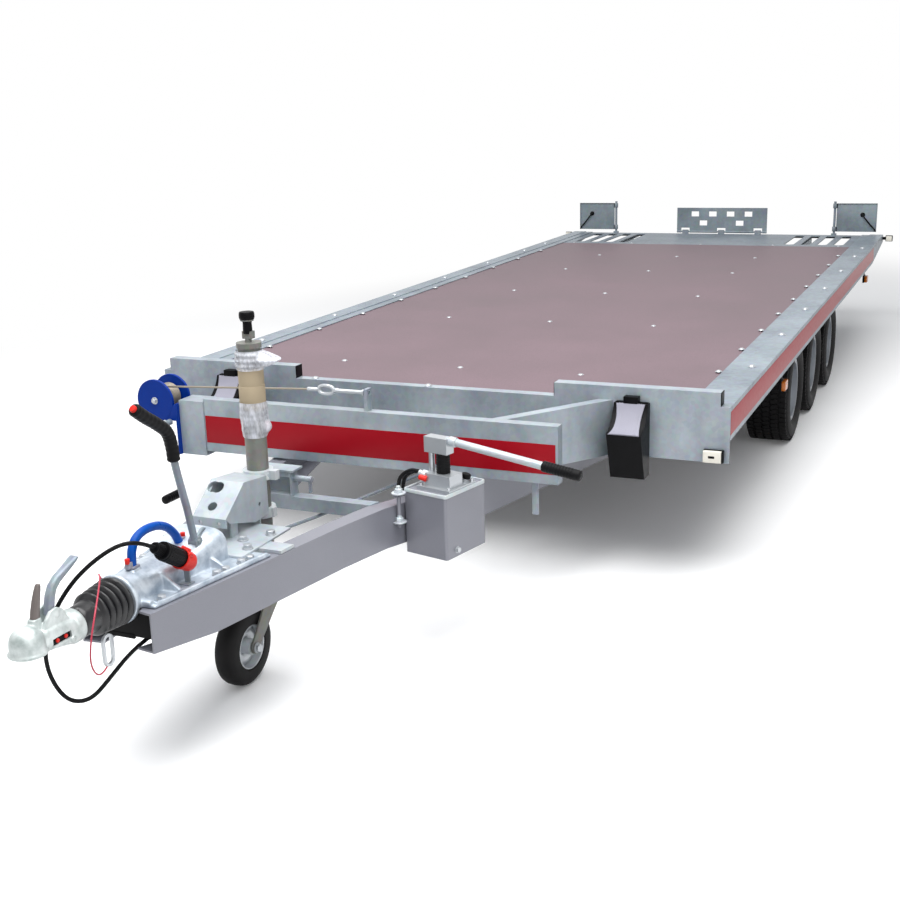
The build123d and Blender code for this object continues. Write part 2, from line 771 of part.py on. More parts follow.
arm_plate = 26.0
arm_inner_x = track_outer - tyre_width - 8 - arm_plate
tube_z = chassis_bottom - axle_seat - axle_tube / 2
with BuildPart() as axles:
    for index in range(axle_count):
        tube_y = axle_y(index) - swing_arm
        with BuildSketch(Plane.YZ.offset(-arm_inner_x)):
            with Locations((y_at(tube_y), tube_z)):
                RectangleRounded(axle_tube, axle_tube, 12)
        extrude(amount=2 * arm_inner_x)
        for side in (1, -1):
            slab(
                (side * (rail_x - arm_flange), side * rail_x),
                (tube_y - 50, tube_y + 50),
                (chassis_bottom - axle_seat, chassis_bottom),
            )
            with BuildSketch(Plane.YZ.offset(side * arm_inner_x)):
                with BuildLine():
                    Polyline(
                        (y_at(tube_y - 44), tube_z + 20),
                        (y_at(tube_y - 20), tube_z + 46),
                        (y_at(tube_y + 20), tube_z + 46),
                        (y_at(axle_y(index) + 10), tyre_radius + 34),
                        (y_at(axle_y(index) + 34), tyre_radius + 10),
                        (y_at(axle_y(index) + 34), tyre_radius - 10),
                        (y_at(axle_y(index) + 10), tyre_radius - 34),
                        (y_at(tube_y + 20), tube_z - 46),
                        (y_at(tube_y - 20), tube_z - 46),
                        (y_at(tube_y - 44), tube_z - 20),
                        close=True,
                    )
                make_face()
            extrude(amount=side * arm_plate)
            hub = (axle_y(index), tyre_radius)
            rod(
                (side * (arm_inner_x + arm_plate), *hub),
                (side * (wheel_x + 30), *hub),
                spindle_radius,
            )
            rod(
                (side * (arm_inner_x + arm_plate), *hub),
                (side * (wheel_x - rim_width / 2 - 6), *hub),
                drum_radius - 4,
            )
save(axles.part, "axles")


# Wheels: steel rim with its brake drum, and tyre
def wheel_plane(side, index):
    """Sketch plane through the hub: x outward along the axle, y radial."""
    return Plane(
        origin=(side * wheel_x, y_at(axle_y(index)), tyre_radius),
        x_dir=(side, 0, 0),
        z_dir=(0, -side, 0),
    )


def hub_plane(side, index, out):
    """Plane across the axle at a distance out from the tyre's middle, facing out."""
    return Plane(
        origin=(side * (wheel_x + out), y_at(axle_y(index)), tyre_radius),
        x_dir=(0, side, 0),
        z_dir=(side, 0, 0),
    )


stud_circle = 56.0
drum_inner = -rim_width / 2 + 3.0
for index in range(axle_count):
    for side in (1, -1):
        axis = Axis(wheel_plane(side, index).origin, (side, 0, 0))
        half = rim_width / 2
        with BuildPart() as rim:
            with BuildSketch(wheel_plane(side, index)):
                with BuildLine():
                    Polyline(
                        (-half - 5, rim_radius + rim_flange),
                        (-half, rim_radius),
                        (half, rim_radius),
                        (half + 5, rim_radius + rim_flange),
                        (half + 5, rim_radius - rim_sheet),
                        (32, rim_radius - rim_sheet),
                        (44, stud_circle + 22),
                        (44, 30),
                        (64, 26),
                        (64, 0),
                        (35, 0),
                        (35, spindle_radius + running_fit),
                        (drum_inner, spindle_radius + running_fit),
                        (drum_inner, drum_radius),
                        (-12, drum_radius),
                        (-12, 40),
                        (38, 40),
                        (38, stud_circle + 20),
                        (26, rim_radius - rim_sheet),
                        (-half - 5, rim_radius - rim_sheet),
                        close=True,
                    )
                make_face()
            revolve(axis=axis)
            with BuildSketch(hub_plane(side, index, 10)):
                with PolarLocations(rim_radius - 38, 8):
                    Circle(9)
            extrude(amount=50, mode=Mode.SUBTRACT)
        save(rim.part, f"wheel_{index + 1}_{side_name(side)}_rim")

        wall = tyre_width / 2
        seat = rim_radius + 0.3
        with BuildPart() as tyre:
            for out, radius in (
                (0.3 - half, rim_radius + rim_flange + 5),
                (-wall, (rim_radius + tyre_radius) / 2),
                (5 - wall, tyre_radius - 20),
                (shoulder - wall, tyre_radius),
                (wall - shoulder, tyre_radius),
                (wall - 5, tyre_radius - 20),
                (wall, (rim_radius + tyre_radius) / 2),
                (half - 0.3, rim_radius + rim_flange + 5),
            ):
                with BuildSketch(hub_plane(side, index, out)):
                    RegularPolygon(radius, tyre_sides)
            loft(ruled=True)
            with BuildSketch(hub_plane(side, index, -half)):
                Circle(seat)
            extrude(amount=rim_width, mode=Mode.SUBTRACT)
        save(tyre.part, f"wheel_{index + 1}_{side_name(side)}_tyre")

# Front crossmember of the bed with its two stop bars
with BuildPart() as front_crossmember:
    slab((-half_width, half_width), (0, sheet), (bed_bottom, bed_top))
    inside = rail_inner - 1
    slab((-inside, inside), (0, flange), (bed_top - sheet, bed_top))
    slab((-inside, inside), (0, flange), (bed_bottom, bed_bottom + sheet))
    for side in (1, -1):
        slab(
            (side * stop_bar_inner, side * stop_bar_outer), (0, stop_bar), (bed_top, bed_top + stop_bar)
        )
        slab(
            (side * (stop_bar_inner - 1), side * (stop_bar_outer - 3)),
            (3, stop_bar - 3),
            (bed_top + 3, bed_top + stop_bar - 3),
            Mode.SUBTRACT,
        )
save(front_crossmember.part, "front_crossmember")

# Winch beam ahead of the bed on two splayed arms
with BuildPart() as winch_beam:
    slab((-beam_half_width, beam_half_width), (-beam_reach, -beam_reach + flange), (bed_bottom, bed_top))
    slab(
        (-beam_half_width + sheet, beam_half_width - sheet),
        (-beam_reach + sheet, -beam_reach + flange + 1),
        (bed_bottom + sheet, bed_top - sheet),
        Mode.SUBTRACT,
    )
    for side in (1, -1):
        for low, high, wide in (
            (bed_bottom, bed_bottom + sheet, flange),
            (bed_top - sheet, bed_top, flange),
            (bed_bottom, bed_top, sheet),
        ):
            with BuildSketch(Plane.XY.offset(low)):
                with BuildLine():
                    Polyline(
                        (side * splay_front, y_at(-beam_reach + flange - 1)),
                        (side * splay_rear, y_at(-0.2)),
                        (side * (splay_rear - wide * 1.18), y_at(-0.2)),
                        (side * (splay_front - wide * 1.18), y_at(-beam_reach + flange - 1)),
                        close=True,
                    )
                make_face()
            extrude(amount=high - low)
    # winch bracket at the beam's right end, hook post, latch strap
    slab(
        (-beam_half_width - 98, -beam_half_width),
        (-beam_reach - 4, -beam_reach + 80),
        (bed_bottom - 16, bed_top - 9),
    )
    slab(
        (-beam_half_width - 94, -beam_half_width - 4),
        (-beam_reach, -beam_reach + 81),
        (bed_bottom - 12, bed_top - 13),
        Mode.SUBTRACT,
    )
    slab((-18, -6), (-beam_reach + 4, -beam_reach + 36), (bed_top, bed_top + 72))
    rod((-19, -beam_reach + 20, bed_top + 58), (-5, -beam_reach + 20, bed_top + 58), 7, Mode.SUBTRACT)
    slab((538, 558), (-beam_reach + 26, -beam_reach + 32), (300, bed_bottom))
save(winch_beam.part, "winch_beam")

# Side rails: a folded edge channel with a lip over the deck
with BuildPart() as side_rails:
    for side in (1, -1):
        low = bed_top - rail_height
        with BuildSketch(facing_front(sheet)):
            with BuildLine():
                Polyline(
                    (side * (half_width - rail_bottom_width), low),
                    (side * half_width, low),
                    (side * half_width, bed_top),
                    (side * rail_inner, bed_top),
                    (side * rail_inner, bearer_bottom),
                    (side * (rail_inner + sheet), bearer_bottom),
                    (side * (rail_inner + sheet), bed_top - sheet),
                    (side * (half_width - sheet), bed_top - sheet),
                    (side * (half_width - sheet), low + sheet),
                    (side * (half_width - rail_bottom_width), low + sheet),
                    close=True,
                )
            make_face()
            with Locations((side * (rail_inner - rail_lip_width / 2), deck_top + sheet / 2)):
                Rectangle(rail_lip_width, sheet)
        extrude(amount=-(bed_length - sheet))
        slab(
            (side * (rail_inner - rail_lip_width - 1), side * (rail_inner - 0.01)),
            (0, flange + 0.5),
            (deck_top - 5, bed_top + 5),
            Mode.SUBTRACT,
        )
        side_plate(
            (side * (rail_inner - 10), side * (half_width + 10)),
            [
                (bed_length - tail_taper, low - 20),
                (bed_length - tail_taper, low),
                (bed_length + 1, low + tail_rise),
                (bed_length + 1, low - 20),
            ],
            Mode.SUBTRACT,
        )
save(side_rails.part, "side_rails")


# Deck frame: two long beams, cross bearers, pivot lugs and the lift beam
def bearer_y(index):
    return bearer_first + index * bearer_pitch


eye_drift = 45.0  # the rod's eye is free to run back this far between its lugs
lift_beam_front = rod_eye_y + eye_radius + eye_drift + 6
last_bearer_rear = bearer_y(bearer_count - 1) + bearer_width / 2
with BuildPart() as bed_beams:
    for side in (1, -1):
        inner, outer = side * (rail_x - bed_beam_width), side * rail_x
        side_plate(
            (inner, outer),
            [
                (flange + 1, bed_bottom),
                (pivot_y + 150, bed_bottom),
                (bed_length - 45, deck_under - beam_tail_height),
                (bed_length - 45, deck_under),
                (last_bearer_rear + 0.5, deck_under),
                (last_bearer_rear + 0.5, bearer_bottom),
                (flange + 1, bearer_bottom),
            ],
        )
        side_plate(
            (inner - side * 1, outer - side * sheet),
            [
                (flange, bed_bottom + sheet),
                (pivot_y + 150, bed_bottom + sheet),
                (bed_length - 44, deck_under - beam_tail_height + sheet),
                (bed_length - 44, deck_under - sheet),
                (last_bearer_rear + 10, deck_under - sheet),
                (last_bearer_rear + 10, bearer_bottom - sheet),
                (flange, bearer_bottom - sheet),
            ],
            Mode.SUBTRACT,
        )
        lug_x = (side * (rail_x - arm_flange - 6), side * (rail_x - arm_flange - 22))
        side_plate(
            lug_x,
            [
                (pivot_y - 80, bearer_bottom - 8),
                (pivot_y - 44, pivot_z),
                (pivot_y - 30, pivot_z - 34),
                (pivot_y, pivot_z - 46),
                (pivot_y + 30, pivot_z - 34),
                (pivot_y + 44, pivot_z),
                (pivot_y + 80, bearer_bottom - 8),
            ],
        )
        slab(
            (side * (rail_x - arm_flange - 22), inner),
            (pivot_y - 80, pivot_y + 80),
            (bed_bottom + 20, bed_bottom + 32),
        )
        rod(
            (0, pivot_y, pivot_z),
            (side * rail_x, pivot_y, pivot_z),
            pivot_radius + running_fit,
            Mode.SUBTRACT,
        )
save(bed_beams.part, "bed_beams")

with BuildPart() as bed_bearers:
    for index in range(bearer_count):
        d = bearer_y(index)
        slab(
            (-rail_inner, rail_inner),
            (d - bearer_width / 2, d + bearer_width / 2),
            (bearer_bottom, deck_under),
        )
        slab(
            (-rail_inner - 1, rail_inner + 1),
            (d - bearer_width / 2 + 4, d + bearer_width / 2 - 4),
            (bearer_bottom + 4, deck_under - 4),
            Mode.SUBTRACT,
        )
    slab(
        (-(rail_x - bed_beam_width), rail_x - bed_beam_width),
        (lift_beam_front, lift_beam_front + 60),
        (bearer_bottom - 72, bearer_bottom - 0.5),
    )
    for side in (1, -1):
        side_plate(
            (side * lug_gap, side * (lug_gap + lug_sheet)),
            [
                (rod_eye_y - eye_radius, rod_eye_z - 10),
                (rod_eye_y - eye_radius, rod_eye_z + 10),
                (rod_eye_y, rod_eye_z + eye_radius + 8),
                (lift_beam_front, rod_eye_z + 40),
                (lift_beam_front, rod_eye_z - 26),
                (rod_eye_y, rod_eye_z - eye_radius),
            ],
        )
        head = side * (lug_gap + lug_sheet)
        rod((head, rod_eye_y, rod_eye_z), (head + side * 8, rod_eye_y, rod_eye_z), eye_pin_radius + 6)
save(bed_bearers.part, "bed_bearers")

plate_front = bed_length - rear_plate_length
carrier_half = 310.0
carrier_y = bed_length - 12.0
carrier_z = bed_top + 8.0
board_outer = half_width - 45.0
board_inner = board_outer - 256.0
board_pin_x = board_inner - 12.0
board_low, board_top = bed_top + 18.0, bed_top + 204.0
with BuildPart() as deck:
    slab((-deck_edge, deck_edge), (flange + 1, plate_front), (deck_under, deck_top))
save(deck.part, "deck_board")

with BuildPart() as rear_plate:
    slab((-deck_edge, deck_edge), (plate_front, bed_length), (deck_top - rear_plate_sheet, deck_top))
    slab((-deck_edge, deck_edge), (bed_length - 6, bed_length), (deck_under, deck_top))
    slab((-deck_edge, deck_edge), (bed_length - 40, bed_length), (deck_under, deck_under + 4))
    slot_mid = bed_length - 60 - slot_length / 2
    with BuildSketch(Plane.XY.offset(deck_top + 1)):
        for side in (1, -1):
            for k in range(slot_count):
                with Locations((side * (deck_edge - slot_inset - k * slot_pitch), y_at(slot_mid))):
                    SlotOverall(slot_length, slot_width, rotation=90)
    extrude(amount=-rear_plate_sheet - 2, mode=Mode.SUBTRACT)
    for x in (-250, 0, 250):
        slab((x - 20, x + 20), (carrier_y - 12, carrier_y + 12), (deck_top, carrier_z + 12))
        rod((x - 21, carrier_y, carrier_z), (x + 21, carrier_y, carrier_z), 6 + running_fit, Mode.SUBTRACT)
    for side in (1, -1):
        pin_x = side * board_pin_x
        rod((pin_x, carrier_y, deck_top), (pin_x, carrier_y, board_top + 12), 8)
        slab((pin_x - 16, pin_x + 16), (carrier_y - 16, carrier_y + 12), (deck_top, deck_top + 12))
save(rear_plate.part, "rear_plate")

# Wheel chocks stowed on the front crossmember
chock_x = half_width - 310.0
chock_width = 112.0
with BuildPart() as wheel_chocks:
    for side in (1, -1):
        with BuildSketch(Plane.YZ.offset(side * chock_x - chock_width / 2)):
            with BuildLine():
                Polyline(
                    (y_at(-26), 590), (y_at(-2), 590), (y_at(-2), 352), (y_at(-62), 352), (y_at(-112), 506)
                )
                ThreePointArc((y_at(-112), 506), (y_at(-60), 536), (y_at(-26), 590))
            make_face()
        extrude(amount=chock_width)
save(wheel_chocks.part, "wheel_chocks")

# Winch: blue frame with two guard discs, crank, cable and snap hook
winch_plate_x = -beam_half_width - 98.0
winch_x, winch_z = winch_plate_x - 89.0, 578.0
disc_radius = 72.0
disc_front, disc_rear = -396.0, -300.0
with BuildPart() as winch_frame:
    for d in (disc_front, disc_rear):
        rod((winch_x, d, winch_z), (winch_x, d + 10, winch_z), disc_radius)
    rod((winch_x, disc_front + 10, winch_z), (winch_x, disc_rear, winch_z), 20)
    slab((winch_plate_x - 8, winch_plate_x), (disc_front, disc_rear + 10), (bed_bottom - 16, bed_top - 20))
    for d in (disc_front, disc_rear):
        side_y = (d, d + 8)
        slab((winch_x, winch_plate_x - 4), side_y, (winch_z - 66, winch_z - 10))
save(winch_frame.part, "winch_frame")

coil_radius = 46.0
hook_z = bed_top + 58.0
cable_radius = 3.5
with BuildPart() as winch_cable:
    rod((winch_x, disc_front + 13, winch_z), (winch_x, disc_rear - 3, winch_z), coil_radius)
    rod((winch_x, disc_front + 9, winch_z), (winch_x, disc_rear + 1, winch_z), 20.2, Mode.SUBTRACT)
    rope_start = (winch_x + 6, -beam_reach + 20, winch_z + coil_radius - cable_radius)
    rod(rope_start, (-196, -beam_reach + 20, hook_z), cable_radius)
    with BuildSketch(facing_front(-beam_reach + 14)):
        with Locations((-162, hook_z)):
            SlotOverall(66, 40)
            SlotOverall(40, 14, mode=Mode.SUBTRACT)
    extrude(amount=-12)
    rod((-132, -beam_reach + 20, hook_z), (-24, -beam_reach + 20, hook_z), 7)
save(winch_cable.part, "winch_cable")

crank_x, crank_z = winch_x + 34.0, 497.0
with BuildPart() as winch_crank:
    rod((crank_x, disc_front - 34, crank_z), (crank_x, disc_front - 2, crank_z), 11)
    with BuildSketch(facing_front(disc_front - 28)):
        with BuildLine():
            Polyline(
                (crank_x - 13, crank_z),
                (crank_x + 13, crank_z),
                (crank_x + 33, crank_z - 250),
                (crank_x + 11, crank_z - 250),
                close=True,
            )
        make_face()
    extrude(amount=-8)
    rod((crank_x + 22, disc_front - 130, crank_z - 240), (crank_x + 22, disc_front - 24, crank_z - 240), 13)
save(winch_crank.part, "winch_crank")

# Position lamps on the front face, side markers hung under the rails, outline lamps at the rear
rail_low = bed_top - rail_height
marker_places = (1164.0, bed_length - 795.0)
with BuildPart() as marker_lamps:
    for side in (1, -1):
        slab(
            (side * (half_width - 79), side * (half_width - 15)),
            (-26, -0.5),
            (bed_bottom + 4, bed_bottom + 44),
        )
        for d in marker_places:
            slab(
                (side * (half_width - 35), side * (half_width - 7)),
                (d - 34, d + 34),
                (rail_low - 94, rail_low - 52),
            )
            slab(
                (side * (half_width - 31), side * (half_width - 27)),
                (d - 12, d + 12),
                (rail_low - 52, rail_low),
            )
        # end-outline lamp on its rubber arm at the rail's rear end
        slab(
            (side * half_width, side * (half_width + 22)),
            (bed_length - 30, bed_length - 10),
            (bed_top - 32, bed_top - 12),
        )
        slab(
            (side * (half_width + 18), side * (half_width + 62)),
            (bed_length - 38, bed_length - 2),
            (bed_top - 42, bed_top - 2),
        )
save(marker_lamps.part, "marker_lamps")

# Tail: perforated plate carrier on a hinge rod, and two swinging light boards
with BuildPart() as plate_carrier:
    with BuildSketch(facing_front(carrier_y - 2)):
        with Locations((0, carrier_z + 78)):
            Rectangle(2 * carrier_half, 172)
        with Locations((0, carrier_z + 122)):
            with GridLocations(122, 10, 4, 1):
                Rectangle(52, 34, mode=Mode.SUBTRACT)
        with Locations((0, carrier_z + 60)):
            with GridLocations(250, 10, 2, 1):
                Rectangle(52, 34, mode=Mode.SUBTRACT)
        with Locations((0, carrier_z)):
            with GridLocations(250, 10, 3, 1):
                Rectangle(58, 52, mode=Mode.SUBTRACT)
    extrude(amount=-4)
    rod((-carrier_half, carrier_y, carrier_z), (carrier_half, carrier_y, carrier_z), 6)
save(plate_carrier.part, "plate_carrier")

for side in (1, -1):
    with BuildPart() as light_board:
        slab((side * board_inner, side * board_outer), (carrier_y - 2, carrier_y + 2), (board_low, board_top))
        for low in (board_low + 2, board_top - 32):
            rod((side * board_pin_x, carrier_y, low), (side * board_pin_x, carrier_y, low + 30), 13)
            slab(
                (side * (board_pin_x + 4), side * (board_inner + 6)),
                (carrier_y - 2, carrier_y + 2),
                (low, low + 30),
            )
            rod(
                (side * board_pin_x, carrier_y, low - 1),
                (side * board_pin_x, carrier_y, low + 31),
                8 + running_fit,
                Mode.SUBTRACT,
            )
        slab(
            (side * (board_inner + 24), side * (board_outer - 12)),
            (carrier_y + 2, carrier_y + 2 + lamp_depth),
            (board_low + 30, board_top - 46),
        )
    save(light_board.part, f"light_board_{side_name(side)}")

# Lift cylinder between the chassis and the bed
cylinder_run = Vector(0, rod_eye_y - cylinder_base_y, rod_eye_z - cylinder_base_z)
cylinder_length = cylinder_run.length
cylinder_way = cylinder_run.normalized()


def along_cylinder(distance):
    p = cylinder_way * distance
    return (0, cylinder_base_y + p.Y, cylinder_base_z + p.Z)


with BuildPart() as cylinder_barrel:
    rod((-eye_width / 2, *along_cylinder(0)[1:]), (eye_width / 2, *along_cylinder(0)[1:]), eye_radius)
    rod(along_cylinder(10), along_cylinder(60), 20)
    rod(along_cylinder(54), along_cylinder(barrel_end), barrel_radius)
    rod(along_cylinder(76), along_cylinder(barrel_end - 24), barrel_bore, Mode.SUBTRACT)
    rod(
        along_cylinder(barrel_end - 40),
        along_cylinder(barrel_end + 1),
        rod_radius + running_fit,
        Mode.SUBTRACT,
    )
    rod(
        (-eye_width / 2 - 1, *along_cylinder(0)[1:]),
        (eye_width / 2 + 1, *along_cylinder(0)[1:]),
        eye_pin_radius + running_fit,
        Mode.SUBTRACT,
    )
save(cylinder_barrel.part, "cylinder_barrel")

with BuildPart() as cylinder_rod:
    rod(along_cylinder(180), along_cylinder(cylinder_length - 14), rod_radius)
    rod(along_cylinder(180), along_cylinder(216), barrel_bore - 0.3)
    rod(
        (-eye_width / 2, *along_cylinder(cylinder_length)[1:]),
        (eye_width / 2, *along_cylinder(cylinder_length)[1:]),
        eye_radius,
    )
    rod(
        (-eye_width / 2 - 1, *along_cylinder(cylinder_length)[1:]),
        (eye_width / 2 + 1, *along_cylinder(cylinder_length)[1:]),
        eye_pin_radius,
        Mode.SUBTRACT,
    )
    rod(
        (-eye_width / 2, *along_cylinder(cylinder_length)[1:]),
        (eye_width / 2, *along_cylinder(cylinder_length)[1:]),
        eye_pin_radius,
    )
save(cylinder_rod.part, "cylinder_rod")


# Lines: brake rod with its compensator, hydraulic hoses, and the free cables at the nose
def radii_for(points):
    """The largest radius each corner of a route has room for."""
    radii = []
    for a, b, c in zip(points, points[1:], points[2:]):
        before, after = Vector(*b) - Vector(*a), Vector(*c) - Vector(*b)
        turn = radians(before.get_angle(after))
        radii.append(0.45 * min(before.length, after.length) / tan(turn / 2))
    return radii


def line_solid(points, diameter):
    """A tube along a route of (x, distance, height) points, as a part of its own."""
    placed = [(x, y_at(d), z) for x, d, z in points]
    with BuildPart() as tube:
        with BuildLine():
            route = FilletPolyline(*placed, radius=radii_for(placed))
        with BuildSketch(Plane(origin=route @ 0, z_dir=route % 0)):
            Circle(diameter / 2)
        sweep(path=route)
    return tube.part, route.length, radii_for(placed)


def report(name, length, radii):
    print(f"{name}: length {length:.0f} mm, bend radii", [round(r) for r in radii])


compensator_y = rear_member_y + 40.0
with BuildPart() as brake_linkage:
    rod((36, housing_rear + 1.5, 442), (40, front_member_y - 26, 386), 5)
    rod((40, front_member_y - 26, 386), (40, 300, 266), 5)
    rod((40, 300, 266), (40, compensator_y, 262), 5)
    slab((-70, 70), (compensator_y, compensator_y + 10), (250, 274))
save(brake_linkage.part, "brake_linkage")

hose_diameter = 12.0
hose_start = tank_plane(0).from_local_coords(Vector(pump_x - 44, pump_y, tank_top + 28))
hose_runs = []
for k, shift in enumerate((0.0, 22.0)):
    start = hose_start + arm_turn * (shift - 11)
    d = start.Y - bed_front
    hose_runs.append(
        [
            (start.X, d, start.Z),
            (start.X - 50, d - 8 * k, start.Z + 22 - 8 * k),
            (start.X - 98, d + 10, start.Z - 8 - 4 * k),
            (start.X - 124, d + 42, start.Z - 70),
            (start.X - 132, d + 96, start.Z - 118),
            (start.X - 130, d + 170, 362 - 18 * k),
            (150 - 22 * k, -300, 344 - 14 * k),
            (90 - 22 * k, base_member_y - tube_member / 2, 344 - 14 * k),
        ]
    )
with BuildPart() as hydraulic_hoses:
    for points in hose_runs:
        hose, length, radii = line_solid(points, hose_diameter)
        report("hydraulic hose", length, radii)
        add(hose)
save(hydraulic_hoses.part, "hydraulic_hoses")

plug_tail = Vector(80, -1612, 574)
plug_nose = Vector(84, -1482, 490)
plug_way = (plug_nose - plug_tail).normalized()
plug_length, holder_length = 106.0, 48.0
plug_face = plug_tail + plug_way * plug_length
with BuildPart() as power_plug:
    rod(tuple(plug_tail), tuple(plug_tail + plug_way * 34), 13)
    rod(tuple(plug_tail + plug_way * 30), tuple(plug_face), 22)
save(power_plug.part, "power_plug")

with BuildPart() as plug_holder:
    holder_end = plug_face + plug_way * holder_length
    rod(tuple(plug_face), tuple(holder_end), 27)
    foot = plug_face + plug_way * holder_length * 0.5
    slab((foot.X - 10, foot.X + 10), (foot.Y - 12, foot.Y + 4), (base_top, foot.Z))
save(plug_holder.part, "plug_holder")

power_route = [
    tuple(plug_tail),
    (74, -1650, 598),
    (52, -1686, 606),
    (16, -1716, 586),
    (-26, -1756, 544),
    (-62, -1786, 486),
    (-84, -1812, 420),
    (-88, -1822, 352),
    (-76, -1812, 288),
    (-54, -1792, 246),
    (-24, -1757, 242),
    (2, -1716, 284),
    (30, -1676, 330),
    (56, -1624, 358),
    tuple(cable_clip),
]
with BuildPart() as power_cable:
    cable, length, radii = line_solid(power_route, 10)
    report("power cable", length, radii)
    add(cable)
save(power_cable.part, "power_cable")

breakaway_route = [
    (-56, -1636, 478),
    (-44, -1668, 516),
    (-4, -1706, 529),
    (30, -1758, 512),
    (58, -1808, 486),
    (66, -1838, 442),
    (64, -1848, 390),
    (58, -1828, 350),
    (48, -1794, 334),
    (40, -1765, 341),
]
with BuildPart() as breakaway_cable:
    cable, length, radii = line_solid(breakaway_route, 4)
    report("breakaway cable", length, radii)
    add(cable)
save(breakaway_cable.part, "breakaway_cable")

with BuildPart() as carabiner:
    with BuildSketch(Plane.YZ.offset(36.5)):
        with Locations((y_at(-1758), 376)):
            SlotOverall(78, 36, rotation=90)
            SlotOverall(64, 22, rotation=90, mode=Mode.SUBTRACT)
    extrude(amount=7)
save(carabiner.part, "carabiner")
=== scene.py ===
import math

import bmesh
import bpy
from mathutils import Matrix, Vector


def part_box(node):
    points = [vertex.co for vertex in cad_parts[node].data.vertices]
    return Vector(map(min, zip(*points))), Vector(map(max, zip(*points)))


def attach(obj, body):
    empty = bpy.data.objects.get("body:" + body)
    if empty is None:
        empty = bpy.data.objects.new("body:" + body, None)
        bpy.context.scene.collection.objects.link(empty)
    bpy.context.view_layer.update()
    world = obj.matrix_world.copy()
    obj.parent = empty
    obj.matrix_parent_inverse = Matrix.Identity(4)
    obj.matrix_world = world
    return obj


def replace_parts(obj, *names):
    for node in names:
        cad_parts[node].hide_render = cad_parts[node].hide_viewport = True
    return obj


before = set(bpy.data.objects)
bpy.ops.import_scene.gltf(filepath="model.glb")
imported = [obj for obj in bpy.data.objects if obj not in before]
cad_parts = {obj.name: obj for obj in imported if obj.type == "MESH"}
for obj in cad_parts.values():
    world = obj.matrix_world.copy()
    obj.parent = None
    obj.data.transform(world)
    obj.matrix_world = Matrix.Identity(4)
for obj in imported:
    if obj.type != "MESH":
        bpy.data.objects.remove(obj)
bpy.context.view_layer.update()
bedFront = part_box("side_rails")[0].y - 0.004  # the bed's front face


def at(x, distance, z):
    # a point given by its distance behind the bed's front face
    return Vector((x, bedFront + distance, z))


# ---- materials ----
def linear(hexText):
    channels = [int(hexText[i:i + 2], 16) / 255 for i in (0, 2, 4)]
    return tuple(c / 12.92 if c <= 0.04045 else ((c + 0.055) / 1.055) ** 2.4 for c in channels) + (1,)


def addNode(tree, kind, settings=None, **links):
    # one node with its settings; a link is an output socket or a plain value for that input
    node = tree.nodes.new(kind)
    for key, value in (settings or {}).items():
        setattr(node, key, value)
    for name, value in links.items():
        socket = node.inputs[int(name[1:])] if name[0] == "i" and name[1:].isdigit() else node.inputs[name.replace("_", " ")]
        if isinstance(value, bpy.types.NodeSocket):
            tree.links.new(value, socket)
        else:
            socket.default_value = value
    return node


def newMaterial(name, **shader):
    material = bpy.data.materials.new(name)
    material.use_nodes = True
    tree = material.node_tree
    tree.nodes.clear()
    surface = addNode(tree, "ShaderNodeBsdfPrincipled", **shader)
    output = addNode(tree, "ShaderNodeOutputMaterial")
    tree.links.new(surface.outputs[0], output.inputs[0])
    coords = addNode(tree, "ShaderNodeTexCoord").outputs["Object"]
    return material, tree, surface, coords


def mixColours(tree, factor, first, second, blend="MIX"):
    node = addNode(tree, "ShaderNodeMix", {"data_type": "RGBA", "blend_type": blend})
    for index, value in ((0, factor), (6, first), (7, second)):
        if isinstance(value, bpy.types.NodeSocket):
            tree.links.new(value, node.inputs[index])
        else:
            node.inputs[index].default_value = value
    return node.outputs[2]


def ramp(tree, factor, *stops):
    node = addNode(tree, "ShaderNodeValToRGB", Fac=factor)
    elements = node.color_ramp.elements
    while len(elements) < len(stops):
        elements.new(0.5)
    for element, (position, value) in zip(elements, stops):
        element.position = position
        element.color = (value, value, value, 1) if isinstance(value, (int, float)) else value
    return node.outputs[0]


def noise(tree, coords, scale, detail=3.0, roughness=0.5):
    return addNode(tree, "ShaderNodeTexNoise", Vector=coords, Scale=scale, Detail=detail, Roughness=roughness).outputs[0]


def stretched(tree, coords, scale):
    return addNode(tree, "ShaderNodeMapping", Vector=coords, Scale=scale).outputs[0]


def bump(tree, surface, height, strength, distance):
    edges = addNode(tree, "ShaderNodeBevel", {"samples": 4}, Radius=0.0016)
    node = addNode(tree, "ShaderNodeBump", Height=height, Strength=strength, Distance=distance, Normal=edges.outputs[0])
    tree.links.new(node.outputs[0], surface.inputs["Normal"])


